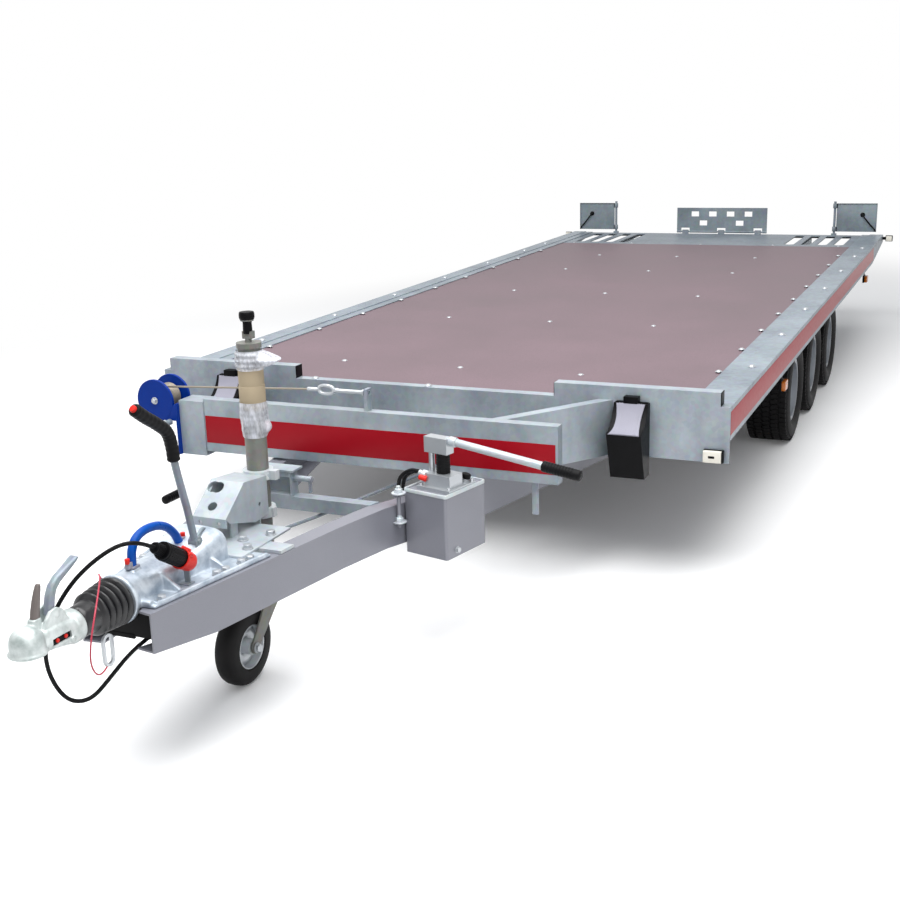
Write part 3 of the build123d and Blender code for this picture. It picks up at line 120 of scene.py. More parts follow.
def zincCoat(name, light, dark, metallic=0.18, roughness=(0.36, 0.52)):
    # hot-dip galvanised steel: faint crystals about 12 mm across, clouds of duller zinc, fine grain
    material, tree, surface, coords = newMaterial(name, Metallic=metallic)
    crystals = addNode(tree, "ShaderNodeTexVoronoi", Vector=coords, Scale=75.0).outputs["Color"]
    crystalGrey = addNode(tree, "ShaderNodeSeparateColor", Color=crystals).outputs[0]
    clouds = noise(tree, coords, 3.2, 5.0, 0.6)
    runs = noise(tree, stretched(tree, coords, (9, 9, 1.6)), 3.0, 4.0)
    body = mixColours(tree, ramp(tree, clouds, (0.32, 0), (0.68, 1)), linear(dark), linear(light))
    body = mixColours(tree, 0.10, body, crystals, "SOFT_LIGHT")
    body = mixColours(tree, 0.16, body, ramp(tree, runs, (0.3, 0.25), (0.7, 0.8)), "SOFT_LIGHT")
    tree.links.new(body, surface.inputs["Base Color"])
    dull = addNode(tree, "ShaderNodeMath", {"operation": "ADD"}, i0=clouds, i1=crystalGrey).outputs[0]
    rough = addNode(tree, "ShaderNodeMapRange", Value=dull, From_Min=0.3, From_Max=1.6, To_Min=roughness[0], To_Max=roughness[1])
    tree.links.new(rough.outputs[0], surface.inputs["Roughness"])
    bump(tree, surface, noise(tree, coords, 140.0, 2.0), 0.10, 0.0006)
    return material


def sprayedMetal(name, colour, metallic, roughness, grain=260.0):
    # paint with metal flake: even colour, a little orange peel
    material, tree, surface, coords = newMaterial(name, Metallic=metallic, Coat_Weight=0.15, Coat_Roughness=0.25)
    flakes = noise(tree, coords, 900.0, 1.0)
    base = mixColours(tree, 0.10, linear(colour), ramp(tree, flakes, (0.4, 0.25), (0.65, 0.85)), "SOFT_LIGHT")
    base = mixColours(tree, 0.12, base, ramp(tree, noise(tree, coords, 2.4, 4.0), (0.3, 0.3), (0.7, 0.7)), "SOFT_LIGHT")
    tree.links.new(base, surface.inputs["Base Color"])
    rough = addNode(tree, "ShaderNodeMapRange", Value=noise(tree, coords, 12.0, 3.0), To_Min=roughness - 0.06, To_Max=roughness + 0.06)
    tree.links.new(rough.outputs[0], surface.inputs["Roughness"])
    bump(tree, surface, noise(tree, coords, grain, 2.0), 0.05, 0.0004)
    return material


def castMetal(name, light, dark):
    # sand-cast and zinc plated: pebbly skin, slightly green in the hollows
    material, tree, surface, coords = newMaterial(name, Metallic=0.45)
    patches = noise(tree, coords, 22.0, 5.0, 0.6)
    tree.links.new(mixColours(tree, ramp(tree, patches, (0.35, 0), (0.65, 1)), linear(dark), linear(light)), surface.inputs["Base Color"])
    rough = addNode(tree, "ShaderNodeMapRange", Value=patches, To_Min=0.34, To_Max=0.5)
    tree.links.new(rough.outputs[0], surface.inputs["Roughness"])
    bump(tree, surface, noise(tree, coords, 420.0, 4.0), 0.25, 0.0008)
    return material


def moulded(name, colour, roughness, grain=0.12, scale=500.0, shine=0.5):
    # injection-moulded plastic or rubber: dense colour with a fine eroded grain
    material, tree, surface, coords = newMaterial(name, Specular_IOR_Level=shine)
    base = mixColours(tree, 0.10, linear(colour), ramp(tree, noise(tree, coords, 18.0, 4.0), (0.3, 0.3), (0.7, 0.75)), "SOFT_LIGHT")
    tree.links.new(base, surface.inputs["Base Color"])
    rough = addNode(tree, "ShaderNodeMapRange", Value=noise(tree, coords, 60.0, 3.0), To_Min=roughness - 0.07, To_Max=roughness + 0.07)
    tree.links.new(rough.outputs[0], surface.inputs["Roughness"])
    bump(tree, surface, noise(tree, coords, scale, 2.0), grain, 0.0005)
    return material


galvanised = zincCoat("hotDipGalvanisedSteel", "A8B1B8", "7A848E", roughness=(0.30, 0.46))
galvanisedRail = zincCoat("galvanisedRailSteel", "8F9AA3", "68737E", roughness=(0.32, 0.48))
galvanisedDull = zincCoat("galvanisedDullSteel", "8A939B", "6A737C", roughness=(0.42, 0.58))
phosphated = sprayedMetal("phosphatedForgedSteel", "6E6663", 0.4, 0.45)
dullTube = zincCoat("dullZincPlatedTube", "85857F", "64645F", roughness=(0.38, 0.55))
silverPaint = sprayedMetal("silverGreyEnamel", "82838C", 0.15, 0.38)
castZinc = castMetal("zincPlatedCasting", "D9DFDE", "A4AFAD")
castHousing = castMetal("galvanisedCasting", "D0D8E0", "98A5B2")
brightSteel = sprayedMetal("turnedBrightSteel", "B4B8BC", 0.6, 0.3, 600.0)
bluePaint = moulded("blueGlossEnamel", "01308A", 0.34, 0.05, 300.0, 0.14)
blackRubber = moulded("blackMouldedRubber", "0C0C0E", 0.5, shine=0.12)
tyreRubber = moulded("blackTyreRubber", "100F10", 0.62, 0.2, 300.0, 0.18)
blackPlastic = moulded("blackMouldedPolyamide", "070709", 0.42, shine=0.09)
redPlastic = moulded("redMouldedPlastic", "DC2A20", 0.36, shine=0.25)
bluePlastic = moulded("blueMouldedPlastic", "014BA6", 0.30, shine=0.16)
redCable = moulded("redCableSheath", "B8324A", 0.4)
redLens = moulded("redLampLens", "A01414", 0.16, 0.05)
whiteLens = moulded("whiteLampLens", "E8E4D8", 0.2, 0.05)
cardboard = moulded("brownCardboard", "B4A48A", 0.8, 0.3, 300.0, 0.2)
rimSteel = sprayedMetal("silverWheelLacquer", "AEB2B8", 0.6, 0.3)
redVinyl = moulded("redReflectiveVinyl", "9C0C1C", 0.34, 0.06, 420.0, 0.16)
bellowsRubber = moulded("blackBellowsRubber", "0D0E12", 0.30, 0.08, 300.0, 0.55)
steelRope = sprayedMetal("greasedSteelRope", "8F877A", 0.55, 0.5, 700.0)
galvanisedBright = zincCoat("brightZincPlate", "D6DBDD", "BCC3C7", roughness=(0.26, 0.40))
# lighter copy of the galvanised finish for the jockey hood and the pump lever tube: partly painted light, its extra
# lightness standing in for the overhead light falling on these parts
galvanisedLighter = zincCoat("lighterGalvanisedSteel", "C6CDD1", "A4ACB2", roughness=(0.28, 0.42))
galvanisedBoard = zincCoat("galvanisedLightBoard", "838E95", "687279", roughness=(0.36, 0.5))
amberLens = moulded("amberLampLens", "C8690E", 0.16, 0.05)
whitePlastic = moulded("whiteMouldedPlastic", "DCDCD8", 0.4)
greyPlastic = moulded("paleGreySlipPlastic", "93929E", 0.42, shine=0.2)

# film-faced plywood: brown phenolic film pressed with a wire mesh, a little dust
deckFilm, tree, surface, coords = newMaterial("filmFacedPlywood")
mesh = addNode(tree, "ShaderNodeTexVoronoi", {"feature": "DISTANCE_TO_EDGE"}, Vector=coords, Scale=110.0).outputs["Distance"]
dust = noise(tree, coords, 1.7, 6.0, 0.62)
body = mixColours(tree, ramp(tree, dust, (0.3, 0), (0.72, 1)), linear("614E55"), linear("745F67"))
body = mixColours(tree, ramp(tree, mesh, (0.0, 0.55), (0.09, 0.0)), body, linear("55464A"))
tree.links.new(body, surface.inputs["Base Color"])
rough = addNode(tree, "ShaderNodeMapRange", Value=dust, To_Min=0.42, To_Max=0.6)
tree.links.new(rough.outputs[0], surface.inputs["Roughness"])
bump(tree, surface, mesh, 0.35, 0.001)
print("materials made")

finishes = {
    galvanised: ["jockey_bracket", "jockey_fork", "front_crossmember", "winch_beam", "crossmembers"],
    galvanisedBright: ["jockey_rim", "coupling_handle", "handbrake_lever", "jockey_clamps"],
    dullTube: ["jockey_tube", "jockey_leg"],
    galvanisedBoard: ["plate_carrier"],
    galvanisedRail: ["side_rails"],
    galvanisedDull: ["winch_crank", "pump_lever", "rear_plate", "bed_beams", "bed_bearers", "axles", "brake_linkage"],
    silverPaint: ["drawbar_arms", "chassis_rails", "pump_tank", "cylinder_barrel"],
    castZinc: ["coupling_head"],
    castHousing: ["overrun_housing"],
    brightSteel: ["pump_body", "winch_cable", "carabiner", "cylinder_rod"],
    bluePaint: ["winch_frame"],
    bluePlastic: ["grab_handle"],
    blackRubber: ["bellows", "hydraulic_hoses"],
    tyreRubber: [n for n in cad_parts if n.endswith("_tyre")],
    rimSteel: [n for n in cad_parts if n.endswith("_rim") and n.startswith("wheel")],
    blackPlastic: ["power_plug", "wheel_chocks", "marker_lamps"],
    redPlastic: ["plug_holder"],
    cardboard: ["transit_sleeve"],
    deckFilm: ["deck_board"],
}
for material, nodeNames in finishes.items():
    for name in nodeNames:
        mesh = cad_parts[name].data
        mesh.materials.clear()
        mesh.materials.append(material)

# ---- free cables ----
cables = {
    "powerCable": {
        "node": "power_cable", "diameter": 0.010, "length": 0.851, "material": blackRubber, "slot": "black_rubber",
        "route": [(80, -1612, 574), (74, -1650, 598), (52, -1686, 606), (16, -1716, 586), (-26, -1756, 544),
                  (-62, -1786, 486), (-84, -1812, 420), (-88, -1822, 352), (-76, -1812, 288), (-54, -1792, 246),
                  (-24, -1757, 242), (2, -1716, 284), (30, -1676, 330), (56, -1624, 358), (74, -1556, 380)],
    },
    "breakawayCable": {
        "node": "breakaway_cable", "diameter": 0.004, "length": 0.448, "material": redCable, "slot": "red_cable",
        "route": [(-56, -1636, 478), (-44, -1668, 516), (-4, -1706, 529), (30, -1758, 512), (58, -1808, 486),
                  (66, -1838, 442), (64, -1848, 390), (58, -1828, 350), (48, -1794, 334), (40, -1765, 341)],
    },
}
for name, cable in cables.items():
    curve = bpy.data.curves.new(name, "CURVE")
    curve.dimensions = "3D"
    curve.bevel_depth = cable["diameter"] / 2
    curve.bevel_resolution = 5
    spline = curve.splines.new("NURBS")
    points = [at(x / 1000, d / 1000, z / 1000) for x, d, z in cable["route"]]
    spline.points.add(len(points) - 1)
    for point, place in zip(spline.points, points):
        point.co = (*place, 1)
    spline.order_u = 3
    spline.use_endpoint_u = True
    spline.resolution_u = 10
    curve.materials.append(cable["material"])
    piece = bpy.data.objects.new(name, curve)
    bpy.context.scene.collection.objects.link(piece)
    cable["piece"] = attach(piece, "chassis")
    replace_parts(piece, cable["node"])
print("cables laid")

# ---- shapes ----
def basis(direction):
    # two sides square to a direction
    direction = Vector(direction).normalized()
    side = direction.cross(Vector((0, 0, 1)) if abs(direction.z) < 0.9 else Vector((1, 0, 0))).normalized()
    return side, direction.cross(side)


def addTurned(shape, start, direction, profile, sides=32):
    # a turned form: profile is (how far along, radius) from start; a radius of 0 closes it
    direction = Vector(direction).normalized()
    side, up = basis(direction)
    rings = []
    for along, radius in profile:
        middle = Vector(start) + direction * along
        if radius <= 0:
            rings.append([shape.verts.new(middle)])
            continue
        turns = [2 * math.pi * k / sides for k in range(sides)]
        rings.append([shape.verts.new(middle + (side * math.cos(t) + up * math.sin(t)) * radius) for t in turns])
    for first, second in zip(rings, rings[1:]):
        for k in range(sides):
            following = (k + 1) % sides
            if len(first) == 1 and len(second) == 1:
                continue
            if len(first) == 1:
                shape.faces.new((first[0], second[following], second[k]))
            elif len(second) == 1:
                shape.faces.new((first[k], first[following], second[0]))
            else:
                shape.faces.new((first[k], first[following], second[following], second[k]))
    for ring in (rings[0], rings[-1]):
        if len(ring) > 1:
            shape.faces.new(ring)


def addRod(shape, start, end, radius, endRadius=None, sides=24, edge=0.0):
    # a round bar between two points, its ends rounded off by edge
    run = Vector(end) - Vector(start)
    last = radius if endRadius is None else endRadius
    long = run.length
    if edge:
        profile = [(0, radius - edge), (edge * 0.3, radius - edge * 0.3), (edge, radius), (long - edge, last),
                   (long - edge * 0.3, last - edge * 0.3), (long, last - edge)]
    else:
        profile = [(0, radius), (long, last)]
    addTurned(shape, start, run, profile, sides)


def addRing(shape, start, direction, profile, sides=48):
    # a turned form with an open middle: the profile is closed on itself
    direction = Vector(direction).normalized()
    side, up = basis(direction)
    rings = []
    for along, radius in profile:
        middle = Vector(start) + direction * along
        rings.append([shape.verts.new(middle + (side * math.cos(2 * math.pi * k / sides) + up * math.sin(2 * math.pi * k / sides)) * radius)
                      for k in range(sides)])
    for first, second in zip(rings, rings[1:] + rings[:1]):
        for k in range(sides):
            following = (k + 1) % sides
            shape.faces.new((first[k], first[following], second[following], second[k]))


def addBlock(shape, low, high, edge=0.0):
    # a box between two corners, its edges broken by edge
    low, high = Vector([min(a, b) for a, b in zip(low, high)]), Vector([max(a, b) for a, b in zip(low, high)])
    made = bmesh.ops.create_cube(shape, size=1.0)["verts"]
    for vert in made:
        vert.co = Vector([l + (h - l) * (c + 0.5) for l, h, c in zip(low, high, vert.co)])
    if edge:
        edges = list({e for v in made for e in v.link_edges})
        bmesh.ops.bevel(shape, geom=edges, offset=edge, segments=2, affect="EDGES", profile=0.7)


def addPlate(shape, outline, thickness, edge=0.0):
    # a flat plate: outline points in order, thickness is a vector
    front = [shape.verts.new(Vector(p)) for p in outline]
    rear = [shape.verts.new(Vector(p) + Vector(thickness)) for p in outline]
    faces = [shape.faces.new(front), shape.faces.new(list(reversed(rear)))]
    for k in range(len(front)):
        following = (k + 1) % len(front)
        faces.append(shape.faces.new((front[following], front[k], rear[k], rear[following])))
    if edge:
        edges = list({e for f in faces for e in f.edges})
        bmesh.ops.bevel(shape, geom=edges, offset=edge, segments=2, affect="EDGES", profile=0.7)


def addBent(shape, points, radius, sides=16, closed=False):
    # a round bar or wire along points; radius is one value or one for each point
    points = [Vector(p) for p in points]
    radii = radius if isinstance(radius, (list, tuple)) else [radius] * len(points)
    count = len(points)
    rings, side = [], None
    for k, point in enumerate(points):
        if closed:
            way = (points[(k + 1) % count] - points[k - 1]).normalized()
        else:
            way = (points[min(k + 1, count - 1)] - points[max(k - 1, 0)]).normalized()
        side = basis(way)[0] if side is None else (side - way * side.dot(way)).normalized()
        up = way.cross(side)
        rings.append([shape.verts.new(point + (side * math.cos(2 * math.pi * j / sides) + up * math.sin(2 * math.pi * j / sides)) * radii[k])
                      for j in range(sides)])
    pairs = list(zip(rings, rings[1:])) + ([(rings[-1], rings[0])] if closed else [])
    for first, second in pairs:
        for j in range(sides):
            following = (j + 1) % sides
            shape.faces.new((first[j], first[following], second[following], second[j]))
    if not closed:
        shape.faces.new(list(reversed(rings[0])))
        shape.faces.new(rings[-1])


def smoothRoute(points, steps=8):
    # a smooth way through the points
    points = [Vector(p) for p in points]
    spots = []
    for k in range(len(points) - 1):
        before, start, end, after = points[max(k - 1, 0)], points[k], points[k + 1], points[min(k + 2, len(points) - 1)]
        for j in range(steps):
            t = j / steps
            spots.append(0.5 * (2 * start + (end - before) * t + (2 * before - 5 * start + 4 * end - after) * t * t
                                + (3 * start - before - 3 * end + after) * t ** 3))
    return spots + [points[-1]]


def finishPiece(name, shape, material, body, sharp=35.0, bevel=0.0):
    # a mesh in place, shaded smooth below the sharp angle, riding on its body
    bmesh.ops.recalc_face_normals(shape, faces=shape.faces)
    mesh = bpy.data.meshes.new(name)
    shape.to_mesh(mesh)
    shape.free()
    for polygon in mesh.polygons:
        polygon.use_smooth = True
    mesh.set_sharp_from_angle(angle=math.radians(sharp))
    mesh.materials.append(material)
    piece = bpy.data.objects.new(name, mesh)
    bpy.context.scene.collection.objects.link(piece)
    if bevel:
        rounding = piece.modifiers.new("edges", "BEVEL")
        rounding.width, rounding.segments, rounding.limit_method = bevel, 2, "ANGLE"
        rounding.angle_limit = math.radians(sharp)
        rounding.harden_normals = True
    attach(piece, body)
    return piece


def addLoft(shape, stations, across=(1, 0, 0), sides=40):
    # a cast form along its stations: (point, half width, half height, squareness)
    across = Vector(across)
    points = [Vector(station[0]) for station in stations]
    rings = []
    for k, (point, wide, high, square) in enumerate(stations):
        way = points[min(k + 1, len(points) - 1)] - points[max(k - 1, 0)]
        up = way.cross(across).normalized()
        ring = []
        for j in range(sides):
            c, s = math.cos(2 * math.pi * j / sides), math.sin(2 * math.pi * j / sides)
            ring.append(shape.verts.new(Vector(point) + across * (wide * math.copysign(abs(c) ** (2 / square), c))
                                        + up * (high * math.copysign(abs(s) ** (2 / square), s))))
        rings.append(ring)
    for first, second in zip(rings, rings[1:]):
        for j in range(sides):
            following = (j + 1) % sides
            shape.faces.new((first[j], first[following], second[following], second[j]))
    shape.faces.new(list(reversed(rings[0])))
    shape.faces.new(rings[-1])


def fusedPiece(name, shape, material, body, voxel=None, rounds=0, cutter=None, sharp=35.0):
    # overlapping solids made one: remeshed and softened where it is a casting, then cut by the cutter's solids
    holders = []
    for part in (shape, cutter):
        if part is None:
            continue
        bmesh.ops.recalc_face_normals(part, faces=part.faces)
        mesh = bpy.data.meshes.new("rough")
        part.to_mesh(mesh)
        part.free()
        holder = bpy.data.objects.new("rough", mesh)
        bpy.context.scene.collection.objects.link(holder)
        holders.append(holder)
    if voxel:
        fuse = holders[0].modifiers.new("fuse", "REMESH")
        fuse.mode, fuse.voxel_size = "VOXEL", voxel
        soften = holders[0].modifiers.new("soften", "SMOOTH")
        soften.factor, soften.iterations = 0.5, rounds
    if cutter is not None:
        cut = holders[0].modifiers.new("cut", "BOOLEAN")
        cut.operation, cut.solver, cut.object, cut.use_self = "DIFFERENCE", "EXACT", holders[1], not voxel
    made = bpy.data.meshes.new_from_object(holders[0].evaluated_get(bpy.context.evaluated_depsgraph_get()))
    for holder in holders:
        bpy.data.objects.remove(holder)
    fused = bmesh.new()
    fused.from_mesh(made)
    return finishPiece(name, fused, material, body, sharp=sharp)


# ---- Geometry Nodes trees for what repeats ----
def newTree(name, inputs):
    # a tree with named inputs: (name, socket kind, value)
    tree = bpy.data.node_groups.new(name, "GeometryNodeTree")
    tree.is_modifier = True
    tree.interface.new_socket(name="Geometry", in_out="OUTPUT", socket_type="NodeSocketGeometry")
    tree.interface.new_socket(name="Geometry", in_out="INPUT", socket_type="NodeSocketGeometry")
    for label, kind, value in inputs:
        socket = tree.interface.new_socket(name=label, in_out="INPUT", socket_type="NodeSocket" + kind)
        if value is not None:
            socket.default_value = value
    return tree, tree.nodes.new("NodeGroupInput").outputs


def endTree(tree, geometry, finish):
    real = addNode(tree, "GeometryNodeRealizeInstances", Geometry=geometry)
    coloured = addNode(tree, "GeometryNodeSetMaterial", Geometry=real.outputs[0], Material=finish)
    output = addNode(tree, "NodeGroupOutput")
    tree.links.new(coloured.outputs[0], output.inputs[0])


def joined(tree, *parts):
    node = tree.nodes.new("GeometryNodeJoinGeometry")
    for part in parts:
        tree.links.new(part, node.inputs[0])
    return node.outputs[0]


def lifted(tree, geometry, height):
    rise = addNode(tree, "ShaderNodeCombineXYZ", Z=height).outputs[0]
    return addNode(tree, "GeometryNodeTransform", Geometry=geometry, Translation=rise).outputs[0]


def sumOf(tree, first, second, operation="ADD"):
    return addNode(tree, "ShaderNodeMath", {"operation": operation}, i0=first, i1=second).outputs[0]


def runTree(tree, settings, points=(), facings=()):
    # the tree's result as a plain mesh
    seeds = bpy.data.meshes.new("seeds")
    seeds.from_pydata([tuple(p) for p in points] or [(0, 0, 0)], [], [])
    if facings:
        facing = seeds.attributes.new("facing", "FLOAT_VECTOR", "POINT")
        facing.data.foreach_set("vector", [value for way in facings for value in way])
    holder = bpy.data.objects.new("seeds", seeds)
    bpy.context.scene.collection.objects.link(holder)
    modifier = holder.modifiers.new("build", "NODES")
    modifier.node_group = tree
    for item in tree.interface.items_tree:
        if item.in_out == "INPUT" and item.name in settings:
            modifier[item.identifier] = settings[item.name]
    evaluated = holder.evaluated_get(bpy.context.evaluated_depsgraph_get())
    made = bpy.data.meshes.new_from_object(evaluated)
    holder.modifiers.clear()
    bpy.data.objects.remove(holder)
    return made


# screws, bolts, nuts and rivets: a hexagon or a dome on a washer at every point
fastenerTree, given = newTree("fasteners", [
    ("Sides", "Int", 6), ("Head Radius", "Float", 0.010), ("Head Height", "Float", 0.008), ("Chamfer", "Float", 0.0015),
    ("Domed", "Bool", False), ("Washer Radius", "Float", 0.013), ("Washer Thickness", "Float", 0.002),
    ("Stud Radius", "Float", 0.003), ("Stud Length", "Float", 0.004), ("Finish", "Material", None), ("Seed", "Int", 1)])
washer = addNode(fastenerTree, "GeometryNodeMeshCylinder", Vertices=20, Radius=given["Washer Radius"], Depth=given["Washer Thickness"])
washer = lifted(fastenerTree, washer.outputs[0], sumOf(fastenerTree, given["Washer Thickness"], 0.5, "MULTIPLY"))
barrel = addNode(fastenerTree, "GeometryNodeMeshCylinder", Vertices=given["Sides"], Radius=given["Head Radius"], Depth=given["Head Height"])
barrel = lifted(fastenerTree, barrel.outputs[0], sumOf(fastenerTree, given["Washer Thickness"], sumOf(fastenerTree, given["Head Height"], 0.5, "MULTIPLY")))
cap = addNode(fastenerTree, "GeometryNodeMeshCone", Vertices=given["Sides"], Radius_Bottom=given["Head Radius"],
              Radius_Top=sumOf(fastenerTree, given["Head Radius"], given["Chamfer"], "SUBTRACT"), Depth=given["Chamfer"])
cap = lifted(fastenerTree, cap.outputs[0], sumOf(fastenerTree, given["Washer Thickness"], given["Head Height"]))
dome = addNode(fastenerTree, "GeometryNodeMeshUVSphere", Segments=16, Rings=10, Radius=given["Head Radius"])
flatten = addNode(fastenerTree, "ShaderNodeCombineXYZ", X=1.0, Y=1.0, Z=sumOf(fastenerTree, given["Head Height"], given["Head Radius"], "DIVIDE"))
dome = addNode(fastenerTree, "GeometryNodeTransform", Geometry=dome.outputs[0], Scale=flatten.outputs[0])
dome = lifted(fastenerTree, dome.outputs[0], given["Washer Thickness"])
head = addNode(fastenerTree, "GeometryNodeSwitch", {"input_type": "GEOMETRY"}, Switch=given["Domed"], i1=joined(fastenerTree, barrel, cap), i2=dome)
stud = addNode(fastenerTree, "GeometryNodeMeshCylinder", Vertices=14, Radius=given["Stud Radius"], Depth=given["Stud Length"])
stud = lifted(fastenerTree, stud.outputs[0], sumOf(fastenerTree, given["Stud Length"], 0.5, "MULTIPLY"))
facing = addNode(fastenerTree, "GeometryNodeInputNamedAttribute", {"data_type": "FLOAT_VECTOR"}, Name="facing").outputs[0]
turn = addNode(fastenerTree, "FunctionNodeAlignRotationToVector", {"axis": "Z"}, Vector=facing).outputs[0]
spin = addNode(fastenerTree, "FunctionNodeRandomValue", {"data_type": "FLOAT"}, Seed=given["Seed"])
spin.inputs[3].default_value = 2 * math.pi
spin = addNode(fastenerTree, "FunctionNodeAxisAngleToRotation", Axis=(0, 0, 1), Angle=spin.outputs[1]).outputs[0]
turn = addNode(fastenerTree, "FunctionNodeRotateRotation", {"rotation_space": "LOCAL"}, Rotation=turn, Rotate_By=spin).outputs[0]
placed = addNode(fastenerTree, "GeometryNodeInstanceOnPoints", Points=given["Geometry"],
                 Instance=joined(fastenerTree, washer, head.outputs[0], stud), Rotation=turn)
endTree(fastenerTree, placed.outputs[0], given["Finish"])

# a ring of tapered blocks round an axle along Z, for tyre tread and moulded ribs
blockRingTree, given = newTree("blockRing", [
    ("Blocks", "Int", 56), ("Radius", "Float", 0.226), ("Depth", "Float", 0.008), ("Width", "Float", 0.03),
    ("Length", "Float", 0.02), ("Offset", "Float", 0.0), ("Slant", "Float", 0.0), ("Shift", "Float", 0.0),
    ("Taper", "Float", 0.92), ("Finish", "Material", None)])
corner = math.sqrt(0.5)
block = addNode(blockRingTree, "GeometryNodeMeshCone", Vertices=4, Radius_Bottom=corner,
                Radius_Top=sumOf(blockRingTree, given["Taper"], corner, "MULTIPLY"), Depth=given["Depth"])
block = addNode(blockRingTree, "GeometryNodeTransform", Geometry=block.outputs[0], Rotation=(0, 0, math.pi / 4))
size = addNode(blockRingTree, "ShaderNodeCombineXYZ", X=given["Width"], Y=given["Length"], Z=1.0).outputs[0]
block = addNode(blockRingTree, "GeometryNodeTransform", Geometry=block.outputs[0], Scale=size)
slant = addNode(blockRingTree, "ShaderNodeCombineXYZ", Z=given["Slant"]).outputs[0]
block = addNode(blockRingTree, "GeometryNodeTransform", Geometry=block.outputs[0], Rotation=slant)
block = addNode(blockRingTree, "GeometryNodeTransform", Geometry=block.outputs[0], Rotation=(0, math.pi / 2, 0))  # its depth now runs along X
spots = addNode(blockRingTree, "GeometryNodeMeshCircle", Vertices=given["Blocks"], Radius=given["Radius"])
place = addNode(blockRingTree, "ShaderNodeCombineXYZ", Z=given["Offset"]).outputs[0]
index = addNode(blockRingTree, "GeometryNodeInputIndex").outputs[0]
step = sumOf(blockRingTree, 2 * math.pi, given["Blocks"], "DIVIDE")
angle = sumOf(blockRingTree, index, step, "MULTIPLY")
around = addNode(blockRingTree, "FunctionNodeAxisAngleToRotation", Axis=(0, 0, 1), Angle=angle).outputs[0]
placed = addNode(blockRingTree, "GeometryNodeInstanceOnPoints", Points=spots.outputs[0], Instance=block.outputs[0], Rotation=around)
shift = addNode(blockRingTree, "ShaderNodeCombineXYZ", Z=sumOf(blockRingTree, given["Shift"], step, "MULTIPLY")).outputs[0]
placed = addNode(blockRingTree, "GeometryNodeTransform", Geometry=placed.outputs[0], Translation=place, Rotation=shift)
endTree(blockRingTree, placed.outputs[0], given["Finish"])

# a rope wound side by side on a drum along Z
ropeCoilTree, given = newTree("ropeCoil", [
    ("Turns", "Float", 11.0), ("Radius", "Float", 0.0425), ("Length", "Float", 0.08), ("Rope Radius", "Float", 0.0035),
    ("Finish", "Material", None)])
spiral = addNode(ropeCoilTree, "GeometryNodeCurveSpiral", Resolution=40, Rotations=given["Turns"], Start_Radius=given["Radius"],
                 End_Radius=given["Radius"], Height=given["Length"])
section = addNode(ropeCoilTree, "GeometryNodeCurvePrimitiveCircle", Resolution=8, Radius=given["Rope Radius"])
rope = addNode(ropeCoilTree, "GeometryNodeCurveToMesh", Curve=spiral.outputs[0], Profile_Curve=section.outputs[0], Fill_Caps=True)
endTree(ropeCoilTree, rope.outputs[0], given["Finish"])


def addMesh(shape, mesh, matrix=Matrix()):
    # a copy of a ready mesh in a shape, put in its place
    copy = mesh.copy()
    copy.transform(matrix)
    shape.from_mesh(copy)
    bpy.data.meshes.remove(copy)


def finishFasteners(name, body, slotName, material, places, seed=1, **sizes):
    # a mesh of one kind of fastener; places are (point, facing)
    settings = {label.replace("_", " "): value for label, value in sizes.items()}
    made = runTree(fastenerTree, {**settings, "Finish": material, "Seed": seed}, [p for p, f in places], [f for p, f in places])
    for polygon in made.polygons:
        polygon.use_smooth = True
    made.set_sharp_from_angle(angle=math.radians(32))
    piece = bpy.data.objects.new(name, made)
    made.name = name
    bpy.context.scene.collection.objects.link(piece)
    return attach(piece, body)


# ---- tyres, nuts and valves ----
wheel = {"offset": 0.9025, "height": 0.234, "rows": (1.856, 2.445, 3.034), "radius": 0.234, "width": 0.195, "seat": 0.1273,
         "disc": 0.044, "studCircle": 0.056, "nuts": 5}
# half of the carcass: distance from the tyre's middle, radius
carcass = [(0.0000, 0.2262), (0.0145, 0.2262), (0.0150, 0.2262), (0.0720, 0.2252), (0.0800, 0.2238), (0.0872, 0.2170),
           (0.0925, 0.2085), (0.0957, 0.1975), (0.0974, 0.1860), (0.0975, 0.1790), (0.0966, 0.1730), (0.0950, 0.1715),
           (0.0948, 0.1690), (0.0915, 0.1620), (0.0868, 0.1545), (0.0830, 0.1500), (0.0826, 0.1450), (0.0752, 0.1425),
           (0.0745, 0.1300), (0.0742, wheel["seat"])]
tread = [  # offset, block width, length, slant, shift, height
    (0.0000, 0.0300, 0.0215, 0.30, 0.00, 0.0078), (0.0355, 0.0300, 0.0215, 0.30, 0.50, 0.0077), (-0.0355, 0.0300, 0.0215, 0.30, 0.50, 0.0077),
    (0.0715, 0.0270, 0.0205, -0.12, 0.10, 0.0070), (-0.0715, 0.0270, 0.0205, 0.12, 0.10, 0.0070)]
shape = bmesh.new()
addRing(shape, (0, 0, 0), (0, 0, 1), [(-d, r) for d, r in reversed(carcass)] + carcass[1:], sides=112)
for offset, width, length, slant, shift, height in tread:
    row = runTree(blockRingTree, {"Blocks": 60, "Radius": 0.2255, "Depth": height, "Width": width, "Length": length, "Offset": offset,
                                  "Slant": slant, "Shift": shift, "Taper": 0.93, "Finish": tyreRubber})
    addMesh(shape, row)
for face in (1, -1):
    ribs = runTree(blockRingTree, {"Blocks": 96, "Radius": 0.2125, "Depth": 0.0042, "Width": 0.0065, "Length": 0.0030,
                                   "Offset": face * 0.0884, "Taper": 0.8, "Finish": tyreRubber})
    addMesh(shape, ribs)
bmesh.ops.recalc_face_normals(shape, faces=shape.faces)
tyreMesh = bpy.data.meshes.new("tyre")
shape.to_mesh(tyreMesh)
shape.free()

